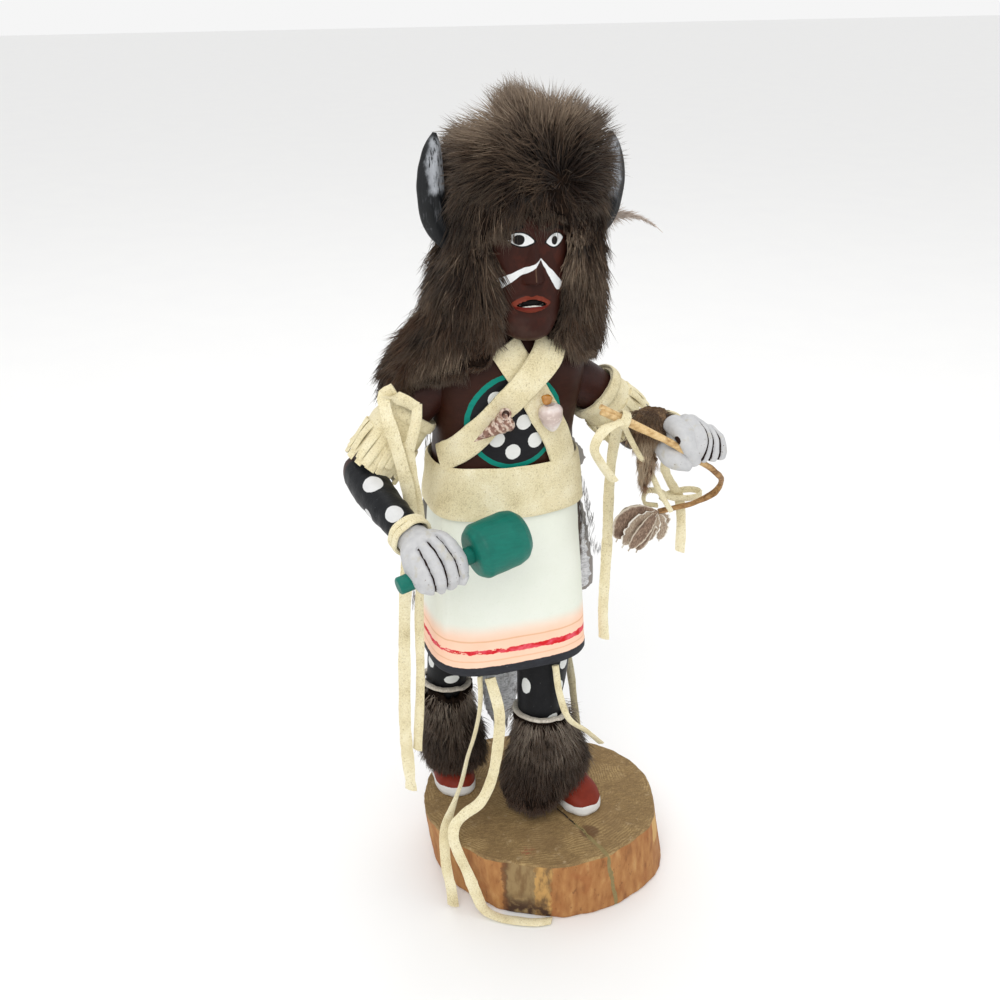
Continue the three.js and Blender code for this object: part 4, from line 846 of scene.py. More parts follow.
def head_shape():
    # Finer steps at the face, which looks along -Y in the head's own frame.
    wide = np.linspace(-math.pi, math.pi, 180, endpoint=False)
    phi = -math.pi / 2 + wide - 0.72 * np.sin(wide)
    z = np.concatenate([[249.6, 250, 250.6], np.linspace(251.4, 302, 96), np.linspace(302.8, 310, 10)])
    grid = tower(HEAD, z, phi)
    x, y, h = grid[..., 0], grid[..., 1], grid[..., 2]
    front = np.clip(-y / 8, 0, 1)
    push = np.zeros(x.shape)
    # Nose: a wedge with a flat underside, sharp ridge and plane sides.
    t = np.clip((h - NOSE_Z[0]) / (NOSE_Z[1] - NOSE_Z[0]), 0, 1)
    half = 3.6 * (1 - t) ** 0.8 + 0.9
    tall = 5.4 * (1 - t) ** 0.85
    wedge = tall * np.clip(1 - np.abs(x) / half, 0, 1) ** 0.9
    under = np.clip((h - 270.9) / 0.9, 0, 1)
    push += np.where(h < NOSE_Z[1], wedge, 0) * under
    # Brow and eye hollows.
    push += 0.7 * np.exp(-((h - 291) / 2.4) ** 2) * np.clip(1 - (np.abs(x) / 13) ** 4, 0, 1)
    for ex in (-6.4, 7.2):
        push -= 0.7 * np.exp(-((x - ex) / 5) ** 2 - ((h - 286.6) / 3.2) ** 2)
    # Lips with an open mouth.
    m = (x - MOUTH[0]) / 7.4
    arch = np.clip(1 - m ** 2, 0, None)
    upper = MOUTH[1] + 3.1 * arch ** 0.8 - 0.4 * np.exp(-(m / 0.18) ** 2)
    lower = MOUTH[1] - 3.2 * arch ** 0.75
    gape = np.clip(1 - (m / 0.72) ** 2, 0, None)
    seam_up, seam_low = MOUTH[1] + 1.75 * gape, 263.3 - 0.35 * gape
    lip = np.minimum(upper - h, h - lower)
    inside = np.where(np.abs(m) < 0.72, np.minimum(seam_up - h, h - seam_low), -1)
    push += 1.5 * np.clip(lip / 1.3, 0, 1) ** 0.6 * (arch > 0)
    push -= 1.9 * np.clip(inside / 0.5, 0, 1)
    # Chin and the groove beneath the lip.
    for deep, at_z, tall in ((0.8, 255.5, 3), (-0.5, 259.6, 1.4)):
        push += deep * np.exp(-((x - MOUTH[0]) / 6) ** 2 - ((h - at_z) / tall) ** 2)
    y = y - push * front
    x = x + 0.15 * ripple(grid, 8, 41)
    placed = head_place(x, y, h)
    wx, wz = placed[..., 0], placed[..., 2]

    def almond(cx, cz, half, rise, fall, tilt):
        u = (wx - cx) / half
        v = wz - cz - tilt * (wx - cx)
        cap = np.clip(1 - u * u, 0, None)
        return np.maximum(np.maximum(v - rise * cap, -v - fall * cap), (np.abs(u) - 1) * half)
    eye_r = almond(-2.6, 286.9, 5.0, 2.5, 2.2, -0.13)
    eye_l = almond(10.5, 286.0, 3.7, 2.5, 2.2, 0.1)
    iris = np.minimum(np.hypot((wx + 3.1) / 1.05, wz - 286.9) - 1.9,
                      np.hypot((wx - 10.3) / 0.8, wz - 285.9) - 1.55)

    def stroke(start, stop, from_half, to_half):
        """Distance from a painted stroke, seen from the front, that changes its width on the way."""
        d, way = segment_distance(placed * [1, 0, 1], start, stop)
        return d - (from_half + (to_half - from_half) * way)
    brow = np.min([stroke(*ends, half, half) for ends, half in BROWS], 0)
    stripes = np.min([stroke(BRIDGE, cheek, 0.25, half) for cheek, half in CHEEKS], 0)
    marks = {
        "eyes": np.minimum(eye_r, eye_l), "iris": iris, "brow": brow, "stripes": stripes,
        "lips": np.where(arch > 0, -lip, 3), "mouth": -inside,
        "teeth": np.where(np.abs(m) < 0.6, np.abs(h - (seam_low + 0.25)) - 0.2, 3),
        # The pale line along the nose ridge is a painted highlight.
        "low_lip": h - 263.4, "ridge": np.where((h > 272.6) & (h < 279.4), np.abs(x) - 0.22, OUTSIDE),
    }
    return net(placed, **{name: np.where(y < -4, mark, OUTSIDE) for name, mark in marks.items()})


def face_material():
    m = Mat("face_paint")
    brush = m.noise(2, 4, 0.6, (1, 1, 2.4))
    colour = m.mix(brush, rgb(38, 16, 10), rgb(58, 25, 16))
    colour = m.tint(colour, rgb(70, 29, 18), m.span(m.noise(5, 3), 0.5, 0.7), 0.5)
    bloom = m.times(m.span(m.axis(2), 262, 254), m.span(m.noise(6, 3), 0.35, 0.7))
    colour = m.tint(colour, rgb(72, 58, 50), bloom, 0.35)
    # A pale line down the nose ridge: a painted highlight.
    colour = m.tint(colour, rgb(140, 112, 88), m.painted("ridge", 0.2, 1.2), 0.3)
    colour = m.mix(m.painted("brow", 0.3, 2), colour, rgb(14, 9, 8))
    eye_line = m.span(m.minus(m.attr("eyes"), 0.55), 0.12, -0.12)
    colour = m.mix(eye_line, colour, rgb(8, 7, 7))
    white = m.mix(m.noise(1, 3), rgb(210, 212, 212), rgb(236, 238, 238))
    colour = m.mix(m.painted("eyes", 0.1, 1.5), colour, white)
    colour = m.mix(m.painted("iris", 0.15, 1.5), colour, rgb(20, 15, 14))
    colour = m.mix(m.painted("stripes", 0.35, 2.5), colour, white)
    lips = m.mix(m.noise(1.5, 3), rgb(104, 42, 29), rgb(126, 56, 39))
    lips = m.mix(m.times(m.span(m.attr("low_lip"), -0.1, -0.5), m.span(m.attr("low_lip"), -2, -0.6)), lips,
                 rgb(94, 17, 11))
    colour = m.mix(m.painted("lips", 0.3, 2), colour, lips)
    colour = m.mix(m.painted("mouth", 0.1, 1), colour, rgb(12, 8, 8))
    colour = m.mix(m.painted("teeth", 0.1, 1), colour, rgb(226, 222, 214))
    m.bump(brush, 0.25, 0.5)
    return m.finish(colour, 0.5, Specular_IOR_Level=0.16)


make("carved_head", head_shape(), face_material(), ["head"], crease=60)


# ---- horns ----
HORNS = {
    "right": [(-10, 4, 279), (-19, 4, 282.5), (-25.2, 4, 290), (-27.2, 4, 303), (-26.6, 4, 313),
              (-25.3, 4, 321)],
    "left": [(18, 4, 279), (30, 4, 281), (39.5, 4, 287), (43.6, 4, 299), (43.9, 4, 309), (42.8, 4, 318.5)],
}
HORN_GIRTH = [(0, 4.2, 3.6, 2.2), (0.3, 5, 3.7, 2.2), (0.6, 5, 3.7, 2.2), (0.8, 4.1, 3.2, 2.2),
              (0.93, 2.5, 2.1, 2.1), (1, 0.7, 0.7, 2)]


def horn_shape(side):
    s = np.concatenate([np.linspace(0, 0.93, 70), np.linspace(0.94, 1, 10)])
    phi = around(48)
    grid = limb(HORNS[side], HORN_GIRTH, s, phi, side=(1, 0, 0))
    mid = grid.mean(1, keepdims=True)
    # Whittled flats along the horn.
    flat = 0.05 * np.cos(phi * 6 + 0.6)[None, :] + 0.03 * ripple(grid, 7, 51)
    grid = mid + (grid - mid) * (1 + flat * np.clip((1 - s) * 6, 0, 1)[:, None])[..., None]
    inner = 1 if side == "right" else -1
    return net(grid, length=s[:, None], inner=(grid - mid)[..., 0] * inner / 5)


def horn_material():
    m = Mat("horn_paint")
    s, inner = m.attr("length"), m.attr("inner")
    brush = m.noise(0.9, 4, 0.65, (1, 1, 5))
    colour = m.mix(brush, rgb(10, 11, 12), rgb(28, 30, 33))
    ragged = m.sway(m.noise(3, 3, 0.6, (1, 1, 2)), 0.12)
    place = m.times(m.span(m.plus(s, ragged), 0.56, 0.62), m.span(s, 0.985, 0.93))
    place = m.times(place, m.span(m.plus(inner, m.times(m.noise(4, 3), 0.9)), -0.15, 0.35))
    silver = m.mix(m.noise(1.2, 3, 0.6, (1, 1, 4)), rgb(128, 132, 138), rgb(198, 202, 208))
    colour = m.mix(m.times(place, m.span(brush, 0.34, 0.5)), colour, silver)
    low = m.times(m.times(m.span(s, 0.3, 0.4), m.span(s, 0.62, 0.5)), m.span(brush, 0.56, 0.66))
    colour = m.tint(colour, rgb(90, 92, 96), low, 0.5)
    m.bump(brush, 0.35, 0.6)
    return m.finish(colour, 0.5, Specular_IOR_Level=0.25)


HORN = horn_material()
for side in HORNS:
    make(side + "_horn_carved", horn_shape(side), HORN, [side + "_horn"], crease=60)


# ---- arms ----
RATTLE_HEAD = (12.8, 36.4)   # where it starts and ends, along the axis from the grip
RATTLE_GRIP = np.array([-40.7, -45, 174.4])
RATTLE_AXIS = unit(np.array([0.969, 0.153, 0.193]))
ARMS = {
    "right": {
        "upper": [(-20, 3, 232), (-33, 3.2, 224), (-44.8, 3.5, 209), (-57.6, 2.8, 192.6)],
        "fore": [(-57.4, 6.5, 195.6), (-55.4, -9, 191.4), (-51.8, -24, 187.4), (-48.6, -34, 184)],
        "hand": [(-49, -33, 184.2), (-47, -38.4, 182), (-43.8, -44.2, 178.4), (-41.8, -46.6, 174.6),
                 (-41.2, -46.4, 171.4), (-41.2, -45.8, 170)],
        "thumb": [(-39, -44, 172), (-34.6, -48.6, 171.6), (-32.6, -50, 170.8)],
        "wrist": (-48.7, -33.6, 184),
        "grip": RATTLE_AXIS,
    },
    "left": {
        "upper": [(22, 3, 228), (35, 3.2, 221), (47, 3, 210), (57.4, 2, 198)],
        "fore": [(57.6, 5.6, 197.4), (58, -6, 201.8), (57.4, -20, 207.4), (56.4, -29, 209.6)],
        "hand": [(56.2, -28, 209.4), (56.6, -33, 210.4), (60.2, -38.6, 210.2), (63.6, -41.4, 207.2),
                 (64.6, -42, 204.6), (64.6, -42, 203)],
        "thumb": [(49.6, -38, 207.4), (52, -44, 205.2), (57.4, -46, 203.2)],
        "index": [(53.6, -38, 216.6), (55, -45.4, 214.8), (56.8, -47.4, 209), (58.6, -47, 204)],
        "hole": (51.6, -47, 213.4),
        "wrist": (56.5, -27.2, 209.1),
        "grip": unit(np.array([0.84, 0.04, -0.54])),
    },
}
UPPER_GIRTH = [(0, 8, 8, 2), (0.25, 9.2, 9.2, 2), (0.6, 8.2, 8.2, 2), (0.96, 7.6, 7.6, 2.2),
               (1, 6.6, 6.6, 2.2)]
FORE_GIRTH = [(0, 6.8, 6.8, 2.4), (0.08, 7.5, 7.5, 2.4), (0.5, 7, 7, 2.2), (1, 6.1, 6.1, 2)]
HAND_GIRTH = {
    "right": [(0, 6.1, 5.8, 2), (0.17, 6.4, 6, 2), (0.32, 8.8, 7.6, 2.3), (0.5, 10.6, 8.4, 2.5),
              (0.7, 11.2, 8.2, 2.6), (0.92, 10.6, 6.8, 2.6), (1, 9.4, 5, 2.4)],
    "left": [(0, 6, 5.8, 2), (0.2, 6.2, 6, 2), (0.34, 7.4, 7, 2.3), (0.5, 9.8, 7.8, 2.6),
             (0.7, 10.2, 7.8, 2.8), (0.92, 9.8, 6.4, 2.8), (1, 8.8, 5, 2.6)],
}
THUMB_GIRTH = {
    "right": [(0, 2.8, 2.8, 2.2), (0.6, 3, 3, 2.3), (1, 2.2, 2.2, 2.3)],
    "left": [(0, 3.2, 3.2, 2.2), (0.5, 4.2, 4.2, 2.4), (1, 3.4, 3.4, 2.4)],
}
# Places of the grooves between the fingers, across the fist, and where along it they start.
GROOVES, GROOVE_FROM = (0.46, 0.02, -0.42), {"right": 0.44, "left": 0.3}
# Half width of the dark lines along the grooves and the palm line: painted shade in the creases.
GROOVE_SHADE_HALF = {"right": 0.3, "left": 0.7}
FINGER_EDGES = (1.02, 0.48, 0.02, -0.46, -1.02)
INDEX_GIRTH = [(0, 4, 3.6, 2.2), (0.5, 4.2, 3.2, 2.4), (1, 3.2, 2.6, 2.2)]
ARM_DOTS = {
    "right": [(-57, -13.2, 197, 4.0), (-53.6, -30, 192, 3.7), (-62.5, -18, 186, 3.6), (-47, -20, 181, 3.6),
              (-60, 6, 188.5, 3.6)],
    "left": [(52.4, -10, 209, 3.4), (57, -22, 214.2, 3.0), (63.8, -16, 204, 3.4), (60, -2, 195, 3.4)],
}


def hand_shape(side):
    arm = ARMS[side]
    curve = Route(arm["hand"])
    phi = around(120)
    s = np.concatenate([np.linspace(0, 0.96, 52), np.linspace(0.97, 1, 5)])
    at, dir_ = curve.at(s), curve.tangent(s)
    e1 = unit(arm["grip"] - dir_ * dot(arm["grip"], dir_))
    e2 = np.cross(dir_, e1)
    g = along(HAND_GIRTH[side], s)
    x, y = outline(phi[None], g[:, 1:2], g[:, 2:3], g[:, 3:4])
    f = x / g[:, 1:2]
    outer = y > 0
    t = s[:, None]
    lines = np.full(x.shape, OUTSIDE)
    depth = np.zeros(x.shape)
    knuckle = np.clip((t - 0.36) / 0.1, 0, 1)
    for i, groove in enumerate(GROOVES):
        wander = groove + 0.018 * np.sin(t * 9 + i * 2 + (side == "left"))
        d = np.abs(f - wander) * g[:, 1:2]
        d = np.where(outer & (t > GROOVE_FROM[side]), d, OUTSIDE)
        lines = np.minimum(lines, d)
        depth += 1.5 * np.exp(-(d / 0.7) ** 2) * knuckle
    # Rounded backs of the fingers, knuckles, and the thumb's line across the palm side.
    belly = np.zeros(x.shape)
    for a, b in zip(FINGER_EDGES[:-1], FINGER_EDGES[1:]):
        u = (f - (a + b) / 2) / ((a - b) / 2)
        belly += np.where(np.abs(u) < 1, 1 - u * u, 0)
    ridge = 0.35 * np.exp(-((t - 0.5) / 0.07) ** 2) * belly
    y = y + np.where(outer, 0.5 * belly * knuckle - depth + ridge, 0)
    palm = segment_distance(np.stack([f * 9, t * 30 + 0 * f, 0 * f], -1), (-8, 9, 0), (7, 24, 0))[0]
    palm = np.where(~outer & (t > 0.25), palm, OUTSIDE)
    y = y + np.where(outer, 0, 0.9 * np.exp(-(palm / 0.7) ** 2))
    lines = np.minimum(lines, palm + 0.1)
    grid = at[:, None] + e1[:, None] * x[..., None] + e2[:, None] * y[..., None]
    grid += 0.12 * ripple(grid, 4, 61)[..., None]
    thumb = rounded(limb(arm["thumb"], THUMB_GIRTH[side], np.linspace(0, 1, 24), around(32)), 0.4)
    hand = net(grid, kind=2, lines=lines - GROOVE_SHADE_HALF[side], tip=t)
    hand = hand + net(thumb, kind=2, lines=OUTSIDE, tip=0.8)
    if "index" not in arm:
        return hand
    # The first finger closes over the stick; painted shade darkens the gap where the stick goes in.
    index = rounded(limb(arm["index"], INDEX_GIRTH, np.linspace(0, 1, 30), around(32)), 0.4)
    gap = np.linalg.norm(index - np.array(arm["hole"]), axis=-1) - 1.7
    return hand + net(index, kind=2, lines=gap, tip=0.6)


def arm_shape(side):
    arm = ARMS[side]
    phi = around(48)
    upper = rounded(limb(arm["upper"], UPPER_GIRTH, np.linspace(0, 1, 30), phi, side=(0, 1, 0)), 0.45)
    fore = rounded(limb(arm["fore"], FORE_GIRTH, np.linspace(0, 1, 44), phi), 0.4)
    # Small knife cuts along the back of the forearm.
    fore = fore + 0.14 * ripple(fore, 5, 62)[..., None]
    dots = np.min([np.linalg.norm(fore - np.array(d[:3]), axis=-1) - d[3] for d in ARM_DOTS[side]], 0)
    start = fore[..., 1] - 3.4 + 0.3 * (fore[..., 2] - 195) + 0.7 * ripple(fore, 9, 63)
    return net(upper, kind=0, black=OUTSIDE) + net(fore, kind=0, black=start, dots=dots) + hand_shape(side)


def arm_material():
    m = Mat("arm_paint")
    kind = m.attr("kind")
    brush = m.noise(1.8, 4, 0.6)
    skin = m.mix(brush, rgb(38, 17, 13), rgb(60, 28, 20))
    black = m.mix(brush, rgb(12, 13, 15), rgb(29, 31, 35))
    black = m.tint(black, rgb(110, 112, 118), m.span(m.noise(1, 3, 0.6), 0.66, 0.74), 0.4)
    colour = m.mix(m.painted("black", 0.4, 3), skin, black)
    white = m.mix(m.noise(3, 4, 0.6), rgb(196, 197, 198), rgb(222, 222, 221))
    dots = m.times(m.painted("dots", 0.35, 3), m.span(m.attr("black"), 0.2, -0.2))
    colour = m.mix(dots, colour, white)
    chalk = m.mix(m.noise(2.6, 4, 0.6, shift=(6, 2, 4)), rgb(172, 173, 176), rgb(206, 206, 206))
    hand = m.tint(chalk, rgb(176, 168, 142), m.span(m.noise(4, 3, shift=(3, 1, 8)), 0.56, 0.72), 0.4)
    specks = m.times(m.span(m.cells(1.5), 0.2, 0.1), m.span(m.attr("tip"), 0.55, 0.9))
    specks = m.times(specks, m.span(m.noise(2.4, 2), 0.42, 0.52))
    hand = m.mix(specks, hand, rgb(106, 90, 80))
    # Dark lines along the finger grooves, the palm line and round the stick's hole: painted shade.
    hand = m.mix(m.painted("lines", 0.18, 1.5), hand, rgb(36, 20, 16))
    colour = m.mix(m.span(kind, 1.4, 1.6), colour, hand)
    m.bump(m.noise(0.9, 3, 0.6), 0.16, 0.5)
    m.bump(brush, 0.2, 0.5)
    return m.finish(colour, m.span(kind, 1.4, 1.6, 0.45, 0.62), Specular_IOR_Level=0.2)


ARM = arm_material()
for side in ARMS:
    make(side + "_arm_carved", arm_shape(side), ARM, [side + "_arm"], crease=60)


# ---- rattle ----
def lathe(profile, at, axis, sides, wobble, seed):
    """A turned shape: profile of (distance along the axis, radius), a little uneven."""
    axis = unit(np.asarray(axis, float))
    e1 = unit(np.cross(axis, (0, 0, 1.0)))
    p = np.asarray(profile, float)
    ring = spokes(e1, np.cross(axis, e1), around(sides))[None]
    grid = np.asarray(at, float) + axis * p[:, 0, None, None] + ring * p[:, 1, None, None]
    return grid + ring * (wobble * ripple(grid, 8, seed))[..., None]


def smooth_profile(points, step=0.5, corner=0.35):
    """Profile points joined by straight lines, with small rounds at the corners."""
    p = np.asarray(points, float)
    out = [p[0]]
    for a, b, c in zip(p[:-2], p[1:-1], p[2:]):
        ab, cb = np.linalg.norm(b - a), np.linalg.norm(c - b)
        r = min(corner, ab / 2.2, cb / 2.2)
        q0, q1 = b + (a - b) / ab * r, b + (c - b) / cb * r
        for t in (0, 0.33, 0.66, 1):
            out.append((1 - t) ** 2 * q0 + 2 * t * (1 - t) * b + t * t * q1)
    out.append(p[-1])
    dense = [out[0]]
    for a, b in zip(out[:-1], out[1:]):
        n = max(1, int(np.linalg.norm(b - a) / step))
        dense += [a + (b - a) * i / n for i in range(1, n + 1)]
    return np.array(dense)


def rattle_shape():
    near, far = RATTLE_HEAD
    handle = smooth_profile([(-17.2, 0.1), (-17.2, 2.7), (-16.6, 3.3), (near + 1.2, 3.25)], 1.2)
    head = smooth_profile([(near + 0.2, 0.1), (near + 0.1, 6.8), (near + 0.5, 8.6), (near + 3.4, 10.7),
                           (far - 7.4, 10.7), (far - 3.8, 9.8), (far - 1.3, 7.3), (far - 0.2, 4),
                           (far, 0.1)], 0.8, 0.7)
    return (net(lathe(handle, RATTLE_GRIP, RATTLE_AXIS, 40, 0.12, 71))
            + net(lathe(head, RATTLE_GRIP, RATTLE_AXIS, 96, 0.1, 72)))


def rattle_material():
    m = Mat("rattle_paint")
    brush = m.noise(1.3, 4, 0.65, (4, 1, 1))
    colour = m.mix(brush, rgb(0, 90, 78), rgb(0, 118, 102))
    colour = m.tint(colour, rgb(0, 84, 72), m.span(m.noise(7, 3), 0.45, 0.7), 0.4)
    worn = m.span(m.noise(1, 3, 0.7, shift=(4, 4, 4)), 0.68, 0.75)
    colour = m.tint(colour, rgb(0, 74, 62), worn, 0.5)
    m.bump(brush, 0.25, 0.55)
    return m.finish(colour, 0.46, Specular_IOR_Level=0.3)


make("rattle_turned", rattle_shape(), rattle_material(), ["rattle"], crease=60)


# ---- bow ----
BOW = [
    (20.6, -46, 228.6), (31, -45.4, 222.8), (43, -45.6, 216), (51, -46.6, 211.2), (59.2, -46.6, 205),
    (65.6, -46, 200.6), (71.4, -43.8, 195.6), (75.6, -39.2, 190.8), (77, -35.2, 185.9), (75.9, -32.2, 181.7),
    (71.8, -30.2, 178.7), (66.8, -28.8, 177), (60.7, -27.8, 176), (55.4, -27.2, 175.3),
]
BOW_SIDE = unit(np.array([0, 0.3, 1.0]))


BOW_GIRTH = [
    (0, 1.1, 1.1, 2.3), (0.1, 1.15, 1.15, 2.3), (0.34, 1.25, 1.25, 2.2), (0.5, 1.2, 1.1, 2.2),
    (0.62, 1, 0.9, 2.2), (0.8, 0.9, 0.8, 2), (0.9, 1.1, 1.1, 2), (1, 1.1, 1.1, 2),
]
# Strands split off the bend: from, to, how far to the side and how far out.
STRANDS = [(0.53, 0.9, 1.3, 0.3), (0.57, 0.84, 0.4, 0.9), (0.6, 0.94, 0.2, -0.8)]


def bow_shape():
    curve = Route(BOW)
    s = np.linspace(0, 1, 190)
    phi = around(20)
    whole = limb(curve, BOW_GIRTH, s, phi, side=BOW_SIDE)
    whole = whole + (whole - whole.mean(1, keepdims=True)) * (0.12 * ripple(whole, 5, 81))[..., None]
    whole -= BOW_SIDE * np.interp(s, (0, 0.32), (0.95, 0))[:, None, None]
    whole -= BOW_SIDE * (0.7 * np.clip(1 - np.abs((s - 0.7) / 0.14) ** 2, 0, 1))[:, None, None]
    shape = net(rounded(whole, 0.3), bend=np.pad(s, END_RINGS, mode="edge")[:, None])
    # A second thin stick lies along the upper end, and strands have split off the bend.
    t = np.linspace(0, 0.3, 60)
    upper = limb(curve, [(0, 1.0, 1.1, 2.3), (0.3, 0.7, 0.8, 2.3), (1, 0.7, 0.8, 2.3)], t, phi, side=BOW_SIDE)
    upper = upper + BOW_SIDE * (1.15 - 0.5 * t / 0.3)[:, None, None]
    shape = shape + net(rounded(upper, 0.3), bend=0)
    for start, stop, off, out in STRANDS:
        t = np.linspace(start, stop, 60)
        strand = limb(curve, [(0, 0.62, 0.45, 2.2), (1, 0.5, 0.4, 2.2)], t, around(10), side=BOW_SIDE)
        lift = np.sin(np.linspace(0, math.pi, 60)) ** 0.7
        side_way = np.cross(curve.tangent(t), BOW_SIDE)
        strand = strand + (side_way * out + BOW_SIDE * off)[:, None] * lift[:, None, None]
        shape = shape + net(strand, bend=t[:, None])
    return shape


def wood_stick_material():
    m = Mat("bow_wood")
    grain = m.noise(0.5, 4, 0.65, (6, 3, 3))
    pale = m.ramp(grain, (0.3, rgb(170, 132, 84)), (0.5, rgb(208, 176, 124)), (0.75, rgb(228, 202, 156)))
    pale = m.tint(pale, rgb(140, 100, 60), m.span(m.noise(3, 3), 0.56, 0.68), 0.45)
    brown = m.ramp(grain, (0.3, rgb(96, 66, 38)), (0.5, rgb(150, 112, 68)), (0.75, rgb(188, 150, 100)))
    colour = m.mix(m.span(m.attr("bend"), 0.4, 0.56), pale, brown)
    m.bump(grain, 0.2, 0.6)
    return m.finish(colour, 0.6, Specular_IOR_Level=0.3)


make("bow_sticks", bow_shape(), wood_stick_material(), ["bow"], crease=60)


# ---- sash, straps and bands of suede ----
def torso_point(phi, z, out):
    """A point at an angle and height, the given distance out from the torso."""
    r = along(TORSO, np.ravel(z)).reshape(*np.shape(z), 6)
    x, y = outline(phi, r[..., 3] + out, r[..., 4] + out, r[..., 5])
    return np.stack([r[..., 1] + x, r[..., 2] + y, np.broadcast_to(z, x.shape)], -1)


def make_suede(name, shape, node):
    make(name + "_suede", shape, SUEDE, [node], crease=50)


SASH_Z, SASH_T = (177.5, 198.5), 1.9


def slab_section(width, thick, count, n=5.0):
    """Ring of (across, through) points of a thin slab with rounded edges, evenly spaced."""
    t = np.linspace(0, TAU, 4000, endpoint=False)
    x, y = outline(t, width / 2, thick / 2, n)
    step = np.hypot(np.diff(x, append=x[0]), np.diff(y, append=y[0]))
    s = np.concatenate([[0], np.cumsum(step)])[:-1]
    pick = np.searchsorted(s, np.arange(count) * s[-1] / count)
    return x[pick], y[pick]


def sash_shape():
    phi = np.linspace(0, TAU, 200, endpoint=False)
    across, through = slab_section(SASH_Z[1] - SASH_Z[0] - 0.3, SASH_T - 0.3, 34)
    waist = np.stack([np.cos(phi) * 28, np.sin(phi) * 20, 0 * phi], -1)
    top_wave, low_wave = 0.35 * ripple(waist, 22, 91)[:, None], 0.22 * ripple(waist, 24, 92)[:, None]
    z = sum(SASH_Z) / 2 + across + np.where(across > 0, top_wave, low_wave) * np.abs(across) / 10
    fold = 0.3 * ripple(waist[:, None] + [0, 0, 1.8] * z[..., None], 16, 93)
    out = 0.45 + SASH_T / 2 + through[None, :] + fold * 0.8 + 0.25
    grid = torso_point(np.broadcast_to(phi[:, None], z.shape), z, out)
    return loop_net(grid[:, ::-1])


STRAP_W, STRAP_T, STRAP_TOP = 11.0, 1.6, 250.0


def strap_shape(keys, lift, seed):
    """A strap laid on the torso; keys are rows of (way along it, angle, height)."""
    t = np.linspace(0, 1, 120)
    across, through = slab_section(STRAP_W, STRAP_T, 36, 4.5)

    def place(t):
        k = along(keys, np.clip(t, 0, 1))
        return torso_point(np.radians(k[:, 1]), k[:, 2], 0.0)
    p = place(t)
    dir_ = unit(place(t + 0.01) - place(t - 0.01))
    normal = unit(np.stack([p[:, 0] - 1.5, (p[:, 1] - 3) * 1.6, 0 * t], -1))
    cross = unit(np.cross(normal, dir_))
    uneven = 1 + 0.035 * ripple(p, 14, seed) + 0.02 * ripple(p, 5, seed + 1)
    w = across[None, :] * uneven[:, None]
    q = p[:, None] + np.stack([cross[:, 0], cross[:, 1], 0 * t], -1)[:, None] * w[..., None]
    z = np.minimum(STRAP_TOP, p[:, 2:3] + cross[:, 2:3] * w)
    phi = np.arctan2(q[..., 1] - 3, q[..., 0] - 1.2)
    soft = 0.18 * ripple(q, 9, seed + 2)
    out = 0.64 + lift(t)[:, None] + STRAP_T / 2 + through[None, :] + soft
    return net(torso_point(phi, z, out))


STRAP_UNDER = [(0, -122, 246), (0.16, -112, 243), (0.36, -92, 234), (0.66, -64, 218), (0.87, -46, 206),
               (1, -38, 197)]
STRAP_OVER = [(0, -58, 247), (0.14, -66, 244.5), (0.32, -84, 236), (0.58, -114, 221), (0.8, -141, 208),
              (1, -163, 201)]


def over_lift(t):
    """Where the upper strap crosses the lower one it stands off by its thickness and a little more."""
    return (STRAP_T + 0.8) * np.clip(1 - ((t - 0.27) / 0.3) ** 2, 0, None)


make_suede("waist_sash", sash_shape(), "waist_sash")
make_suede("strap_under", strap_shape(STRAP_UNDER, lambda t: 0 * t, 95), "chest_strap_under")
make_suede("strap_over", strap_shape(STRAP_OVER, over_lift, 98), "chest_strap_over")

# Arm bands: where they start and end along the upper arm, the radii of the sleeve and of the rolled lip.
BAND_AT = {"right": (0.39, 0.84), "left": (0.4, 0.82)}
BAND_IN, BAND_OUT, LIP_R, FRINGE_R = 9.5, 10.7, 11.5, 11.55
FRINGE = ((0.5, 1.0, 17), (0.66, 1.13, 15))   # start and end of each layer along the band, and its strips
BAND_TIES = {   # strips wound over the right band, down to the two laces: width and path
    "right": [
        (4.6, [(-46.6, -10, 232.4), (-50.4, -8.6, 230), (-50.6, -10.4, 226), (-49.6, -13.2, 219)]),
        (5, [(-50.4, -8, 227.6), (-47.6, -10.8, 229.6), (-43.4, -12.4, 228.2), (-39.4, -12.8, 225.4)]),
        (4, [(-39, -12.6, 226.6), (-39.6, -13.8, 221), (-41.4, -14.4, 215), (-42.8, -13.8, 209)]),
    ],
}


def hoop(middle, axis, ring, reach, section, shift=0.0):
    """A closed band of one section round an axis, its reach and shift along the axis given per spoke."""
    along_axis = np.broadcast_to(shift, len(ring))[:, None] + section[0]
    out = np.broadcast_to(reach, len(ring))[:, None] + section[1]
    return loop_net(middle + axis * along_axis[..., None] + ring[:, None] * out[..., None])


def frame_on(curve, s, side):
    """Point, direction and two cross directions at s on a curve, the first of them towards side."""
    at, dir_ = curve.at(s), curve.tangent(s)
    e1 = unit(np.asarray(side, float) - dir_ * dot(np.asarray(side, float), dir_))
    return at, dir_, e1, np.cross(dir_, e1)


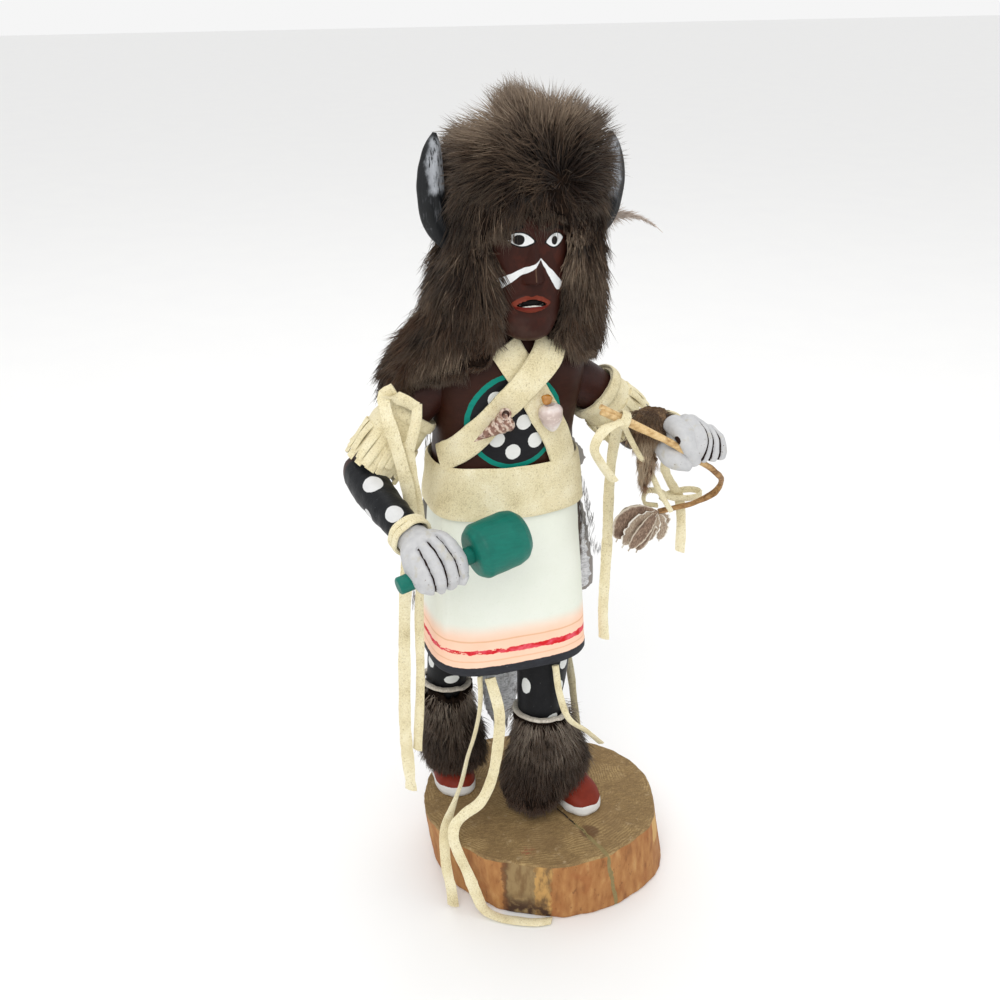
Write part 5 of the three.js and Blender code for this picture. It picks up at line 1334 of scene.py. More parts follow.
def band_shape(side):
    """A sleeve with a rolled lip and two layers of fringe cut from its lower edge."""
    curve = Route(ARMS[side]["upper"])
    a, b = BAND_AT[side]
    phi = around(90)
    s_out = np.linspace(a, a + (b - a) * 0.62 + 0.02, 30)
    swell = 0.55 * np.exp(-((s_out - a - 0.03) / 0.035) ** 2)
    s = np.concatenate([s_out, s_out[::-1]])
    r = np.concatenate([BAND_OUT + 0.7 * (s_out - a) / (b - a) + swell, np.full(30, BAND_IN)])
    at, dir_, e1, e2 = frame_on(curve, s, (0, 1, 0))
    ring = spokes(e1[:, None], e2[:, None], phi)
    base = at[:, None] + ring * r[:, None, None]
    rough = 0.35 * ripple(base, 10, 101) + 0.15 * ripple(base, 4, 102)
    tilt = 0.6 * np.cos(phi - 0.7)[None, :, None] * dir_[:, None] * (s < a + 0.05)[:, None, None]
    parts = [loop_net(base + ring * rough[..., None] + tilt)]
    rng = np.random.default_rng(103 + (side == "left"))
    far = np.linspace(0, 1, 12)
    for layer, (start, length, count) in enumerate(FRINGE):
        for k in range(count):
            angle = TAU * (k + 0.5 * layer) / count + rng.normal(0, 0.03)
            wide = TAU * 11.4 / count * rng.uniform(0.72, 1.0)
            stop = a + (b - a) * (length + rng.normal(0, 0.035))
            t = np.linspace(a + (b - a) * start, min(0.9, stop), 12)
            at, dir_, e1, e2 = frame_on(curve, t, (0, 1, 0))
            turn = angle + far * rng.normal(0, 0.06)
            out, tang = spokes(e1, e2, turn), spokes(e2, -e1, turn)
            reach = FRINGE_R - 0.75 * layer + far * rng.uniform(0.1, 0.9) + 0.3 * np.sin(far * 5 + k)
            mid = at + out * reach[:, None]
            x, y = slab_section(wide, 0.9, 12, 3.5)
            taper = 1 - 0.25 * far ** 2 * rng.uniform(0, 1)
            strip = (mid[:, None] + tang[:, None] * (x[None, :, None] * taper[:, None, None])
                     + out[:, None] * y[None, :, None])
            strip[-1] += dir_[-1] * (x[:, None] / wide) * rng.uniform(-0.9, 0.9)
            parts.append(net(strip[:, ::-1]))
    # A rolled lip round the upper edge.
    at, dir_, e1, e2 = frame_on(curve, np.full(90, a + 0.035), (0, 1, 0))
    out = spokes(e1, e2, phi)
    reach = LIP_R + 0.25 * ripple(out * 11, 9, 105)
    parts.append(hoop(at[:, None], dir_[:, None], out, reach, slab_section(4.6, 1.5, 20, 2.6)))
    ties = enumerate(BAND_TIES.get(side, ()))
    return join(parts + [ribbon(path, width, 1.3, 106 + 3 * k, cup=0.3)[0] for k, (width, path) in ties])


WRIST_W, WRIST_R = 5.3, (6.7, 8.1)


def wrist_shape(side):
    """Two narrow strips side by side, drawn tight round the wrist."""
    axis = Route(ARMS[side]["fore"]).tangent([1.0])[0]
    middle = np.array(ARMS[side]["wrist"])
    e1 = unit(np.cross((0, 0, 1.0), axis))
    phi = around(90)
    ring = spokes(e1, np.cross(axis, e1), phi)
    section = slab_section(WRIST_W / 2 - 0.1, WRIST_R[1] - WRIST_R[0], 22, 3.6)
    parts = []
    for i, off in enumerate((-WRIST_W / 4, WRIST_W / 4)):
        lean = 0.25 * np.cos(phi + 2 * i) + 0.2 * ripple(ring * 9, 9, 111 + i)
        reach = sum(WRIST_R) / 2 + 0.15 * i + 0.15 * ripple(ring * 9, 7, 113 + i)
        parts.append(hoop(middle, axis, ring, reach, section, off + lean))
    return join(parts)


for side in ARMS:
    make_suede(side + "_arm_band", band_shape(side), side + "_arm_band")
    make_suede(side + "_wrist_band", wrist_shape(side), side + "_wrist_band")


def tie_shape():
    """Two turns of a strip round both sticks."""
    phi = around(40)
    section = slab_section(2.9, 1.0, 16, 3.2)
    turns = []
    for i, mid in enumerate((0.089, 0.107)):
        at, dir_, e1, e2 = frame_on(Route(BOW), np.full(len(phi), mid), BOW_SIDE)
        oval = spokes(3.0 * e1, 2.5 * e2, phi)
        reach = np.linalg.norm(oval, axis=-1)
        turns.append(hoop(at[:, None], dir_[:, None], unit(oval), reach, section, 0.5 * np.cos(phi + 2 * i)))
    return join(turns)


make_suede("bow_tie", tie_shape(), "bow_tie")


# ---- shells glued on the straps ----
def shell_paint(name, colours, gloss, stripes):
    m = Mat(name)
    turn = m.attr("ring")
    bands = m.plus(turn, m.times(m.noise(2.2, 2), 0.35))
    colour = m.ramp(m.span(m.calc("SINE", m.times(bands, stripes)), -1, 1), (0.0, colours[0]),
                    (0.5, colours[1]), (1.0, colours[2]))
    colour = m.mix(m.span(m.noise(1.3, 3), 0.5, 0.7), colour, colours[3])
    # Dark inside the mouth: painted shade in the opening.
    colour = m.mix(m.painted("mouth", 0.1, 1), colour, rgb(58, 30, 18))
    m.bump(m.noise(0.6, 3), 0.1, 0.4)
    return m.finish(colour, gloss, Coat_Weight=0.35)


CONE = [(0, 0.02), (0.16, 0.2), (0.42, 0.5), (0.72, 0.86), (0.86, 1), (0.95, 0.9), (1, 0.62)]
BEAN = [(0, 0.02), (0.07, 0.3), (0.25, 0.64), (0.5, 0.92), (0.7, 1), (0.86, 0.92), (0.96, 0.66), (1, 0.4)]


LIP_STEPS = [(0.5, -0.1), (0.42, -0.8), (0.3, -2.0), (0.12, -2.6)]   # share of the radius, way back in


def shell_shape(at, direction, length, radius, profile, whorls, ridge, mouth):
    """A spiral shell whose mouth turns in at the wide end, dark inside where it has a mouth: painted shade in
    the opening.
    """
    phi = around(44)
    t = np.linspace(0, 1, 56)[:, None]
    spiral = np.cos((t * whorls) * TAU - phi[None])
    r = radius * along(profile, t[:, 0])[:, 1:] * (1 + ridge * spiral * (t < 0.8))
    at, axis = np.asarray(at, float), unit(np.asarray(direction, float))
    e1 = unit(np.cross(axis, (0, 1.0, 0.2)))
    ring = spokes(e1, np.cross(axis, e1), phi)
    grid = at + axis * (t * length)[..., None] + ring[None] * r[..., None] * np.array([1, 0.92, 1])
    inner = np.stack([at + axis * (length + back) + ring * (radius * share) for share, back in LIP_STEPS])
    depth = np.concatenate([np.ones(len(t)), [0.1, -0.5, -1, -1]])[:, None]
    return net(np.concatenate([grid, inner]), ring=np.concatenate([t, np.ones((4, 1))]),
               mouth=depth if mouth else 1)


def blob(at, radii, seed):
    """An uneven drop of glue."""
    phi, t = around(24), np.linspace(0.06, math.pi - 0.06, 20)[:, None]
    round_ = np.stack([np.sin(t) * np.cos(phi), np.sin(t) * np.sin(phi), -np.cos(t) + 0 * phi], -1) * radii
    return net(np.array(at) + round_ * (1 + 0.16 * ripple(np.array(at) + round_, 3, seed))[..., None])


BROWN_SHELL = shell_paint(
    "brown_shell", (rgb(126, 88, 72), rgb(176, 144, 126), rgb(208, 188, 172), rgb(98, 64, 50)), 0.35, 34)
PALE_SHELL = shell_paint(
    "pale_shell", (rgb(196, 176, 168), rgb(212, 196, 190), rgb(226, 216, 212), rgb(216, 200, 192)), 0.3, 6)
cone = shell_shape((-19.2, -19.6, 211.6), (0.79, -0.14, 0.5), 16.6, 4.2, CONE, 5, 0.05, True)
bean = shell_shape((11.8, -21.2, 212.4), (-0.15, -0.05, 1), 11.4, 4.7, BEAN, 3, 0.02, False)
make("cone_shell_spiral", cone, BROWN_SHELL, ["cone_shell"], crease=50)
make("pale_shell_spiral", bean, PALE_SHELL, ["pale_shell"], crease=50)
mouth = smooth_profile(
    [(-2.6, 0.1), (-1.8, 2.1), (0, 2.5), (0.5, 2.1), (0.4, 1.5), (-0.6, 1.1), (-1.2, 0.1)], 0.3, 0.3)
# The mouth piece's inner wall is dark: painted shade in the hole.
inside = np.where((mouth[:, 1] < 1.55) & (np.arange(len(mouth)) > len(mouth) / 2), -0.6, 1.0)[:, None]
mouth = lathe(mouth, (-8.4, -24.2, 222.8), (0.1, -0.97, 0.22), 40, 0.1, 117)
make("cone_shell_mouth", net(mouth, mouth=inside, ring=1), BROWN_SHELL)
glue = Mat("glue")
GLUE = glue.finish(glue.mix(glue.noise(1.5), rgb(150, 92, 30), rgb(196, 140, 60)), 0.18, Coat_Weight=0.5)
make("glue_right", blob((-8.4, -21.4, 219.6), (1.7, 1.2, 1.9), 3), GLUE)
make("glue_left", blob((9, -21.4, 225.8), (2.2, 1.3, 2.2), 4), GLUE)


# ---- fur ----
DOWN = np.array([0, 0, -1.0])
SLIGHT = 1e-9   # weight that keeps the chances of all faces above zero


def remeshed(node, voxel):
    """Points and quads of a solid's skin in even cells, in millimetres."""
    work = bpy.data.objects.new("work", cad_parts[node].data.copy())
    SCENE.collection.objects.link(work)
    mod = work.modifiers.new("cells", "REMESH")
    mod.mode, mod.voxel_size = "VOXEL", voxel * MM
    me = bpy.data.meshes.new_from_object(work.evaluated_get(bpy.context.evaluated_depsgraph_get()))
    bpy.data.objects.remove(work)
    co = np.zeros(len(me.vertices) * 3, np.float32)
    me.vertices.foreach_get("co", co)
    index = np.zeros(len(me.loops), np.int32)
    me.loops.foreach_get("vertex_index", index)
    bpy.data.meshes.remove(me)
    return co.reshape(-1, 3).astype(float) / MM, index.reshape(-1, 4)


def vertex_normals(verts, faces):
    """The outward directions at the points of a skin of quads."""
    a, b, c, d = (verts[faces[:, i]] for i in range(4))
    n = np.cross(c - a, d - b)
    out = np.zeros_like(verts)
    for i in range(4):
        np.add.at(out, faces[:, i], n)
    return unit(out)


def relax(verts, faces, rounds):
    """Moves each point halfway to the middle of its neighbours, a few times."""
    for _ in range(rounds):
        total, count = np.zeros_like(verts), np.zeros(len(verts))
        for i in range(4):
            np.add.at(total, faces[:, i], verts[faces[:, (i + 1) % 4]])
            np.add.at(count, faces[:, i], 1)
        verts = verts + (total / count[:, None] - verts) * 0.5
    return verts


def scatter(verts, faces, normals, count, weight, rng):
    """Random points on the skin, more where weight is larger."""
    a, b, c, d = (verts[faces[:, i]] for i in range(4))
    size = np.linalg.norm(np.cross(c - a, d - b), axis=1) / 2
    w = size * weight(verts[faces].mean(1), unit(normals[faces].mean(1)))
    pick = rng.choice(len(faces), count, p=w / w.sum())
    u, v = rng.random((2, count, 1))
    f = faces[pick]

    def lerp(x):
        return (x[f[:, 0]] * (1 - u) + x[f[:, 1]] * u) * (1 - v) + (x[f[:, 3]] * (1 - u) + x[f[:, 2]] * u) * v
    return lerp(verts), unit(lerp(normals))


def hair_paths(roots, start, length, droop, seed, segments, wander=0.18, curl=0.0):
    """Bent paths of hairs: (count, segments + 1, 3)."""
    rng = np.random.default_rng(seed)
    d = unit(start + rng.normal(0, wander, start.shape))
    path = [roots]
    side = unit(np.cross(d, rng.normal(size=d.shape)))
    bend = rng.normal(0, curl, (len(roots), 1))
    for k in range(segments):
        path.append(path[-1] + d * (length / segments)[:, None])
        d = unit(d + droop * DOWN / segments + side * bend / segments)
    return np.stack(path, 1)


def clumped(paths, spacing, strength, seed):
    """Draws the tips of neighbouring hairs together."""
    rng = np.random.default_rng(seed)
    count = len(paths)
    centres = rng.choice(count, max(4, int(count / spacing)), replace=False)
    tree = KDTree(len(centres))
    for i, c in enumerate(centres):
        tree.insert(paths[c, 0], i)
    tree.balance()
    near = centres[[tree.find(p)[1] for p in paths[:, 0]]]
    lead, root, lead_root = paths[near], paths[:, :1], paths[near][:, :1]
    t = np.linspace(0, 1, paths.shape[1])[None, :, None]
    pull = strength * t ** 1.3 * rng.uniform(0.35, 1, (count, 1, 1))
    own = paths - root
    shared = lead - lead_root
    return root + own * (1 - pull) + shared * pull + (lead_root - root) * pull * 0.75


def hair_mesh(paths, width, seed, **paint):
    """Thin closed three-sided hairs, pointed at both ends and bent at each point between."""
    rng = np.random.default_rng(seed)
    count, points = paths.shape[:2]
    rings = points - 2
    d = unit(np.gradient(paths, axis=1))
    e1 = unit(np.cross(d, np.array([0.31, 0.52, 0.8]) + rng.normal(0, 0.2, (count, 1, 3))))
    e2 = np.cross(d, e1)
    r = width[:, None] / 2 * np.linspace(1.0, 0.62, rings)[None]
    turn = around(3)
    ring = (paths[:, 1:-1, None] + e1[:, 1:-1, None] * (np.cos(turn)[:, None] * r[:, :, None, None])
            + e2[:, 1:-1, None] * (np.sin(turn)[:, None] * r[:, :, None, None]))
    verts = np.concatenate([ring.reshape(count, rings * 3, 3), paths[:, :1], paths[:, -1:]], 1)
    per = rings * 3 + 2
    root, tip, top = per - 2, per - 1, (rings - 1) * 3
    first = (np.arange(count) * per)[:, None, None]
    tri = np.array([[(k + 1) % 3, k, root] for k in range(3)]
                   + [[top + k, top + (k + 1) % 3, tip] for k in range(3)])[None]
    faces = [(tri + first).reshape(-1, 3)]
    if rings > 1:
        quad = np.array([[a * 3 + k, a * 3 + (k + 1) % 3, (a + 1) * 3 + (k + 1) % 3, (a + 1) * 3 + k]
                         for a in range(rings - 1) for k in range(3)])[None]
        faces.insert(0, (quad + first).reshape(-1, 4))
    t = np.concatenate([np.repeat(np.arange(1, rings + 1) / (rings + 1), 3), [0.0, 1.0]])
    full = {k: np.repeat(v, per) for k, v in paint.items()}
    return Shape(verts.reshape(-1, 3), faces, tip=np.tile(t, count), **full)


def fur_material(name, dark, mid, light, warm, tip_light=0.3, root=0.85, rough=0.7):
    m = Mat(name)
    shade = m.plus(m.attr("shade"), m.sway(m.noise(9, 3), 0.7))
    colour = m.ramp(shade, (0.1, dark), (0.5, mid), (0.95, light))
    colour = m.mix(m.attr("warmth"), colour, warm)
    colour = m.mix(m.times(m.span(m.attr("tip"), 0.5, 1.0), tip_light), colour, light)
    # Darker towards each hair's root: painted shade deep in the coat.
    colour = m.mix(m.span(m.attr("tip"), 0.4, 0.0, 0.0, root), colour, dark)
    colour = m.tint(colour, mid, m.noise(0.9, 2, 0.5, (1, 1, 5)), 0.25)
    return m.finish(colour, rough, Specular_IOR_Level=0.12, Sheen_Weight=0.05)


def undercoat_material(name, dark, mid):
    m = Mat(name)
    streak = m.noise(0.7, 4, 0.65, (1, 1, 7))
    colour = m.mix(m.span(streak, 0.3, 0.75), dark, mid)
    colour = m.mix(m.span(m.noise(6, 3), 0.45, 0.7), colour, dark)
    m.bump(streak, 0.8, 0.8)
    return m.finish(colour, 0.95, Specular_IOR_Level=0.05)


def undercoat(name, node, voxel, inset, material, seed, lid=math.inf):
    """Makes the skin under a fur, set in from the node's surface; returns that surface. Under the hood and
    ankle hair it is dark: painted shade of the deep coat.
    """
    verts, faces = remeshed(node, voxel)
    verts = relax(verts, faces, 3)
    normals = vertex_normals(verts, faces)
    stretch = verts * [1, 1, 0.35]
    deep = inset(verts) if callable(inset) else inset
    deep = deep + 0.6 * ripple(stretch, 5, seed) + 0.3 * ripple(stretch, 2.4, seed + 1)
    skin = verts - normals * deep[:, None]
    skin[:, 2] = np.minimum(skin[:, 2], lid)
    make(name, Shape(skin, [faces]), material, [node])
    return verts, faces, normals


def clear_of(paths, keep_out):
    """Which hairs stay off the given limbs: (route, radius, from, to)."""
    ok = np.ones(len(paths), bool)
    for curve, radius, a, b in keep_out:
        line = curve.at(np.linspace(a, b, 22))
        for p in line:
            ok &= (((paths - p) ** 2).sum(-1) > radius ** 2).all(1)
    return ok


def comb_down(p, n):
    return DOWN + 0 * p


def even(p, n):
    return np.ones(len(p))


def coat(name, skin, count, material, seed, inset, length, width, lift, shade, warmth, weight=even,
         comb=comb_down, droop=0.5, wander=0.2, clump=(16, 0.6), bends=((2, 0.8), (3, 0.2)), parts=1,
         curl=0.2, keep_out=()):
    """Hairs over a skin, in one or more pieces: a share of them with each number of segments."""
    verts, faces, normals = skin
    rng = np.random.default_rng(seed)
    for part in range(parts):
        shapes = []
        for k, (segments, share) in enumerate(bends):
            n = int(count / parts * share)
            root, normal = scatter(verts, faces, normals, n, weight, rng)
            flow = comb(root, normal)
            flow = unit(flow - normal * dot(flow, normal))
            up = lift(root, normal)[:, None] if callable(lift) else lift
            long = (length(root, normal) if callable(length) else length) * rng.uniform(0.6, 1.15, n)
            deep = inset(root)[:, None] if callable(inset) else inset
            paths = hair_paths(root - normal * deep, flow + normal * up, long, droop, seed + 7 * part + k,
                               segments, wander, curl)
            paths = clumped(paths, clump[0], clump[1], seed + 70 + part)
            wide = width * rng.uniform(0.65, 1.3, n)
            tone = np.clip(shade(root, normal) + rng.normal(0, 0.16, n), 0, 1)
            warm = np.clip(warmth(root, normal) + np.abs(rng.normal(0, 0.08, n)), 0, 1)
            ok = clear_of(paths, keep_out)
            shapes.append(hair_mesh(paths[ok], wide[ok], seed + 90 + part, shade=tone[ok], warmth=warm[ok]))
        make(f"{name}_{part + 1}", join(shapes), material)


# Outline of the hood: height, middle, half width and depth, squareness.
HOOD = [
    (226, -6.4, 8, 40, 18, 2.3), (230, -6, 7, 43.6, 22, 2.3), (238, -3.6, 6, 44, 24.4, 2.3),
    (248, 1, 5, 40.5, 26, 2.3), (260, 4.8, 4, 35.4, 27.4, 2.3), (276, 6.4, 3, 33.2, 28.4, 2.3),
    (294, 7.6, 3, 32, 28.6, 2.3), (308, 8.6, 3, 30.6, 27, 2.2), (320, 9.4, 3, 26, 22.6, 2.1),
    (328, 9.4, 3, 17, 15, 2), (331.4, 9.4, 3, 6, 5.6, 2),
]
WHORL, HOOD_MIDDLE = np.array([9.0, -24.0, 301.0]), np.array([5.0, 4.0, 262.0])


def hood_inset(p):
    """The hair is deepest on the crown and lies close beside the horns."""
    beside = rise(p[:, 2], 272, 290) * rise(np.abs(p[:, 0] - 8), 14, 26)
    return 3.2 + 3.5 * rise(p[:, 2], 314, 330) + 1.2 * beside


def hood_depth(p):
    """How far a point lies inside the hood's outline, in millimetres, roughly."""
    r = along(HOOD, np.clip(p[:, 2], HOOD[0][0], HOOD[-1][0]))
    x, y = p[:, 0] - r[:, 1], p[:, 1] - r[:, 2]
    reach = np.hypot(*outline(np.arctan2(y, x), r[:, 3], r[:, 4], r[:, 5]))
    return np.where(p[:, 2] > 322, (HOOD[-1][0] - p[:, 2]) * 0.8, reach - np.hypot(x, y))


def hood_weight(p, n):
    outer = hood_depth(p) < 2.2
    outward = (n * (p - HOOD_MIDDLE)).sum(1) > 0
    wall = (p[:, 1] < -6) & (hood_depth(p) < 11) & (p[:, 2] > 231)
    front = np.where(p[:, 1] < 8, 1.5, 0.8)
    return np.where((outer & outward) | wall, front, 0.0) * np.where(p[:, 2] < 227.5, 0.3, 1) + SLIGHT


def hood_comb(p, n):
    """Down the sides; on the crown it springs from a whorl above the forehead, up and back."""
    away = p - WHORL
    away = away / (np.linalg.norm(away, axis=1, keepdims=True) + 3)
    high = rise(p[:, 2:3], 296, 318)
    tangle = np.stack([ripple(p, 24, 201), ripple(p, 24, 202), ripple(p, 30, 203)], -1)
    fine = np.stack([ripple(p, 9, seed) for seed in (204, 205, 206)], -1)
    flow = DOWN * (1 - high) + away * 1.3 * high + 0.3 * tangle + 0.16 * fine + 0.35 * tangle * high
    # Towards the cheeks beside the face, off the straps below it, and under the brow at the fringe.
    front = (p[:, 1] < -10) & (np.abs(p[:, 0] - 3.6) < 24)
    sideways = np.where(p[:, 2] > 262, 0.3, np.where(p[:, 0] < 3.6, -0.75, -0.25) * (p[:, 2] < 258))
    flow[:, 0] += np.where(front & (p[:, 2] < 285), np.sign(3.6 - p[:, 0]) * sideways, 0)
    flow[:, 1] += np.where(front & (p[:, 2] > 286) & (p[:, 2] < 298), 0.25, 0)
    return flow


def hood_shade(p, n):
    grey = 0.36 + 0.24 * ripple(p, 20, 207)
    crown = 0.42 * rise(p[:, 2], 312, 327) - 0.16 * rise(p[:, 2], 286, 298) * (1 - rise(p[:, 2], 306, 318))
    low_left = -0.16 * np.clip((p[:, 2] - 262) / -30, 0, 1) * (p[:, 0] < 5)
    low_right = 0.2 * np.clip((285 - p[:, 2]) / 30, 0, 1) * (p[:, 0] > 12)
    return grey + crown + low_left + low_right


def hood_warmth(p, n):
    return 0.5 * np.clip((275 - p[:, 2]) / 26, 0, 1) * np.clip(0.5 + ripple(p, 18, 208), 0, 1)


def hood_length(p, n):
    """Longest on the crown, shorter over the eyes, beside the straps and along the lower edge."""
    long = 14.5 + 4.5 * rise(p[:, 2], 300, 320)
    eyes = (p[:, 1] < -13) & (p[:, 2] > 283) & (p[:, 2] < np.where(p[:, 0] > 3, 300, 295))
    long = long - np.where(eyes, np.where(p[:, 0] > 3, 11.5, 8.0), 0)
    by_strap = (p[:, 1] < -10) & (p[:, 0] > -22) & (p[:, 0] < 3.6)
    low = 1 - 0.68 * (1 - rise(p[:, 2], 230, 252)) * rise(p[:, 0], -50, -38)
    return np.where(by_strap & (p[:, 2] < 258), np.minimum(long, 7.5), long) * low


DARK_FUR = fur_material("dark_fur", rgb(20, 12, 9), rgb(78, 62, 49), rgb(158, 140, 120), rgb(74, 44, 24))
# Near black under the hood and ankle hair: painted shade of the coat's depths.
UNDERCOAT_SHADE = undercoat_material("undercoat_painted_shade", rgb(14, 9, 7), rgb(44, 32, 24))
GREY_FUR = fur_material("grey_fur", rgb(96, 94, 94), rgb(168, 168, 170), rgb(226, 228, 230),
                        rgb(132, 116, 98))
TAN_UNDER = undercoat_material("tan_undercoat", rgb(84, 64, 48), rgb(150, 124, 96))
HORN_WAYS = [(Route(HORNS[side]), 5.4, 0.5, 1.0) for side in HORNS]

hood_skin = undercoat("hood_undercoat", "fur_hood", 1.9, hood_inset, UNDERCOAT_SHADE, 211)
coat("hood_fur", hood_skin, 47500, DARK_FUR, 220, inset=hood_inset, length=hood_length, width=0.3,
     lift=lambda p, n: 0.26 + 0.42 * rise(p[:, 2], 302, 324) * (1 - rise(p[:, 1], 4, 18)), shade=hood_shade,
     warmth=hood_warmth, weight=hood_weight, comb=hood_comb, droop=0.4, clump=(26, 0.7), parts=2, curl=0.35,
     keep_out=HORN_WAYS)

ANKLE_FUR = fur_material("ankle_fur", rgb(28, 19, 14), rgb(92, 78, 66), rgb(166, 154, 140), rgb(80, 48, 30),
                         0.3, 0.5)
HIDE_RIM = undercoat_material("hide_rim", rgb(176, 168, 156), rgb(222, 216, 204))
ANKLE_RIMS = {   # middle, radius and slope of the hide's edge round the leg
    "right": ((-20, 22.4, 83.6), 10.4, (0.1, 0.02, 1)),
    "left": ((14.4, -6.2, 78.4), 11, (0.08, 0.06, 1)),
}


def rim_shape(middle, radius, axis):
    """A pale edge of hide standing a little off the leg."""
    axis = unit(np.array(axis, float))
    e1 = unit(np.cross((0, 1.0, 0), axis))
    ring = spokes(e1, np.cross(axis, e1), around(80))
    wave = 0.35 * ripple(ring * 9, 7, 235) + 0.2 * ripple(ring * 9, 3, 236)
    return hoop(np.array(middle), axis, ring, radius + 0.2 * wave, slab_section(1.6, 2.6, 16, 3), wave)


for side, count in (("right", 8500), ("left", 11500)):
    node = side + "_ankle_fur"
    top = ANKLE_RIMS[side][0][2]
    ankle_skin = undercoat(side + "_ankle_undercoat", node, 1.5, 1.6, UNDERCOAT_SHADE, 231, lid=top)
    make(side + "_ankle_rim", rim_shape(*ANKLE_RIMS[side]), HIDE_RIM)
    lo, hi = (np.array(c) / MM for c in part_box(node))
    mid, reach = (lo + hi) / 2, (hi - lo) / 2

    def ankle_weight(p, n, mid=mid, reach=reach, top=top):
        off = (p - mid) / reach
        return np.where((n[:, :2] * off[:, :2]).sum(1) > 0.1, 1.0, 0.0) * (p[:, 2] < top + 1) + SLIGHT
    coat(side + "_ankle_hair", ankle_skin, count, ANKLE_FUR, 240 + len(side), inset=2.2,
         length=lambda p, n: 5.0 + 5.5 * rise(p[:, 2], 38, 56), width=0.24, lift=0.2, weight=ankle_weight,
         droop=0.35, wander=0.24, clump=(20, 0.5),
         shade=lambda p, n: 0.26 + 0.16 * ripple(p, 14, 241) + 0.42 * rise(p[:, 2], 56, 78),
         warmth=lambda p, n: 0.35 * np.clip((60 - p[:, 2]) / 20, 0, 1))

# The back pelt: smooth hide towards the body, hair on the outside and over its edges.
def hide_shape():
    verts, faces = remeshed("back_pelt", 1.4)
    verts = relax(verts, faces, 2)
    normals = vertex_normals(verts, faces)
    front = rise(-normals[:, 1], 0.1, 0.5)
    wrinkle = 0.25 * ripple(verts * [1, 1, 1.6], 5, 252) + 0.15 * ripple(verts * [1, 1, 2], 3, 253)
    return Shape(verts - normals * (0.5 + wrinkle * front)[:, None], [faces], front=front)


def hide_material():
    m = Mat("pelt_hide")
    wrinkle = m.noise(1.1, 4, 0.65, (1.8, 1, 0.7), warp=0.6)
    # Lighter on the raised wrinkles and darker in their hollows, from the same noise as the bumps: painted
    # highlight and shade of the relief.
    hide = m.mix(m.span(wrinkle, 0.3, 0.6), rgb(160, 163, 168), rgb(232, 235, 239))
    hide = m.tint(hide, rgb(176, 178, 184), m.span(m.noise(9, 3), 0.5, 0.7), 0.5)
    # A dark streaky strip along the hide's side edges, above the hem.
    from_middle = m.calc("ABSOLUTE", m.minus(m.axis(0), 8.5))
    ragged = m.plus(from_middle, m.sway(m.noise(2.6, 4, 0.7, (1, 1, 3)), 5))
    dark_edge_strip = m.times(m.span(ragged, 38.4, 36.6), m.span(m.axis(2), 108, 112))
    hide = m.mix(dark_edge_strip, hide, m.mix(m.noise(0.7, 4, 0.65, (1, 1, 7)), rgb(36, 26, 20), rgb(92, 76, 62)))
    colour = m.mix(m.span(m.attr("front"), 0.3, 0.7), rgb(150, 146, 142), hide)
    m.bump(wrinkle, 0.8, 0.7)
    return m.finish(colour, 0.42, Specular_IOR_Level=0.5)


make("back_pelt_hide", hide_shape(), hide_material(), ["back_pelt"])
pelt_skin = remeshed("back_pelt", 1.7)
pelt_skin = (*pelt_skin, vertex_normals(*pelt_skin))


def pelt_weight(p, n):
    """The back, and thinly round both edges."""
    outside = np.where(n[:, 1] > 0.2, 1.0, np.where(np.abs(n[:, 0]) > 0.6, 0.7, 0.0))
    return outside + 0.1 * (p[:, 2] < 100) + SLIGHT


coat("back_pelt_hair", pelt_skin, 8000, GREY_FUR, 260, inset=0.7, length=6.5, width=0.3,
     lift=0.12, shade=lambda p, n: 0.62 + 0.22 * ripple(p * [1, 1, 0.4], 16, 261), warmth=lambda p, n: 0.05,
     weight=pelt_weight, droop=0.25, wander=0.12, bends=((2, 1.0),))

# Fur on the left forearm: dark brown at the top, pale tan below, with a reddish tip.
TUFT_FUR = fur_material("tuft_fur", rgb(58, 42, 32), rgb(156, 130, 104), rgb(212, 194, 166),
                        rgb(124, 80, 50), 0.4, 0.15)
TUFT_COMB = np.array([-0.18, -0.15, -1.0])


def tuft_shade(p, n):
    return 0.85 + 0.2 * ripple(p, 7, 281) - 0.9 * rise(p[:, 2], 211, 217) - 0.2 * rise(-p[:, 2], -197, -191)


tuft_skin = undercoat("arm_tuft_undercoat", "arm_fur_tuft", 1.2, 0.9, TAN_UNDER, 271)
coat("arm_tuft_hair", tuft_skin, 3600, TUFT_FUR, 280, inset=1.1, length=6.5, width=0.2, lift=0.12,
     shade=tuft_shade, warmth=lambda p, n: 0.1 + 0.6 * rise(-p[:, 2], -199, -191),
     comb=lambda p, n: TUFT_COMB + 0 * p, droop=0.3, wander=0.15)


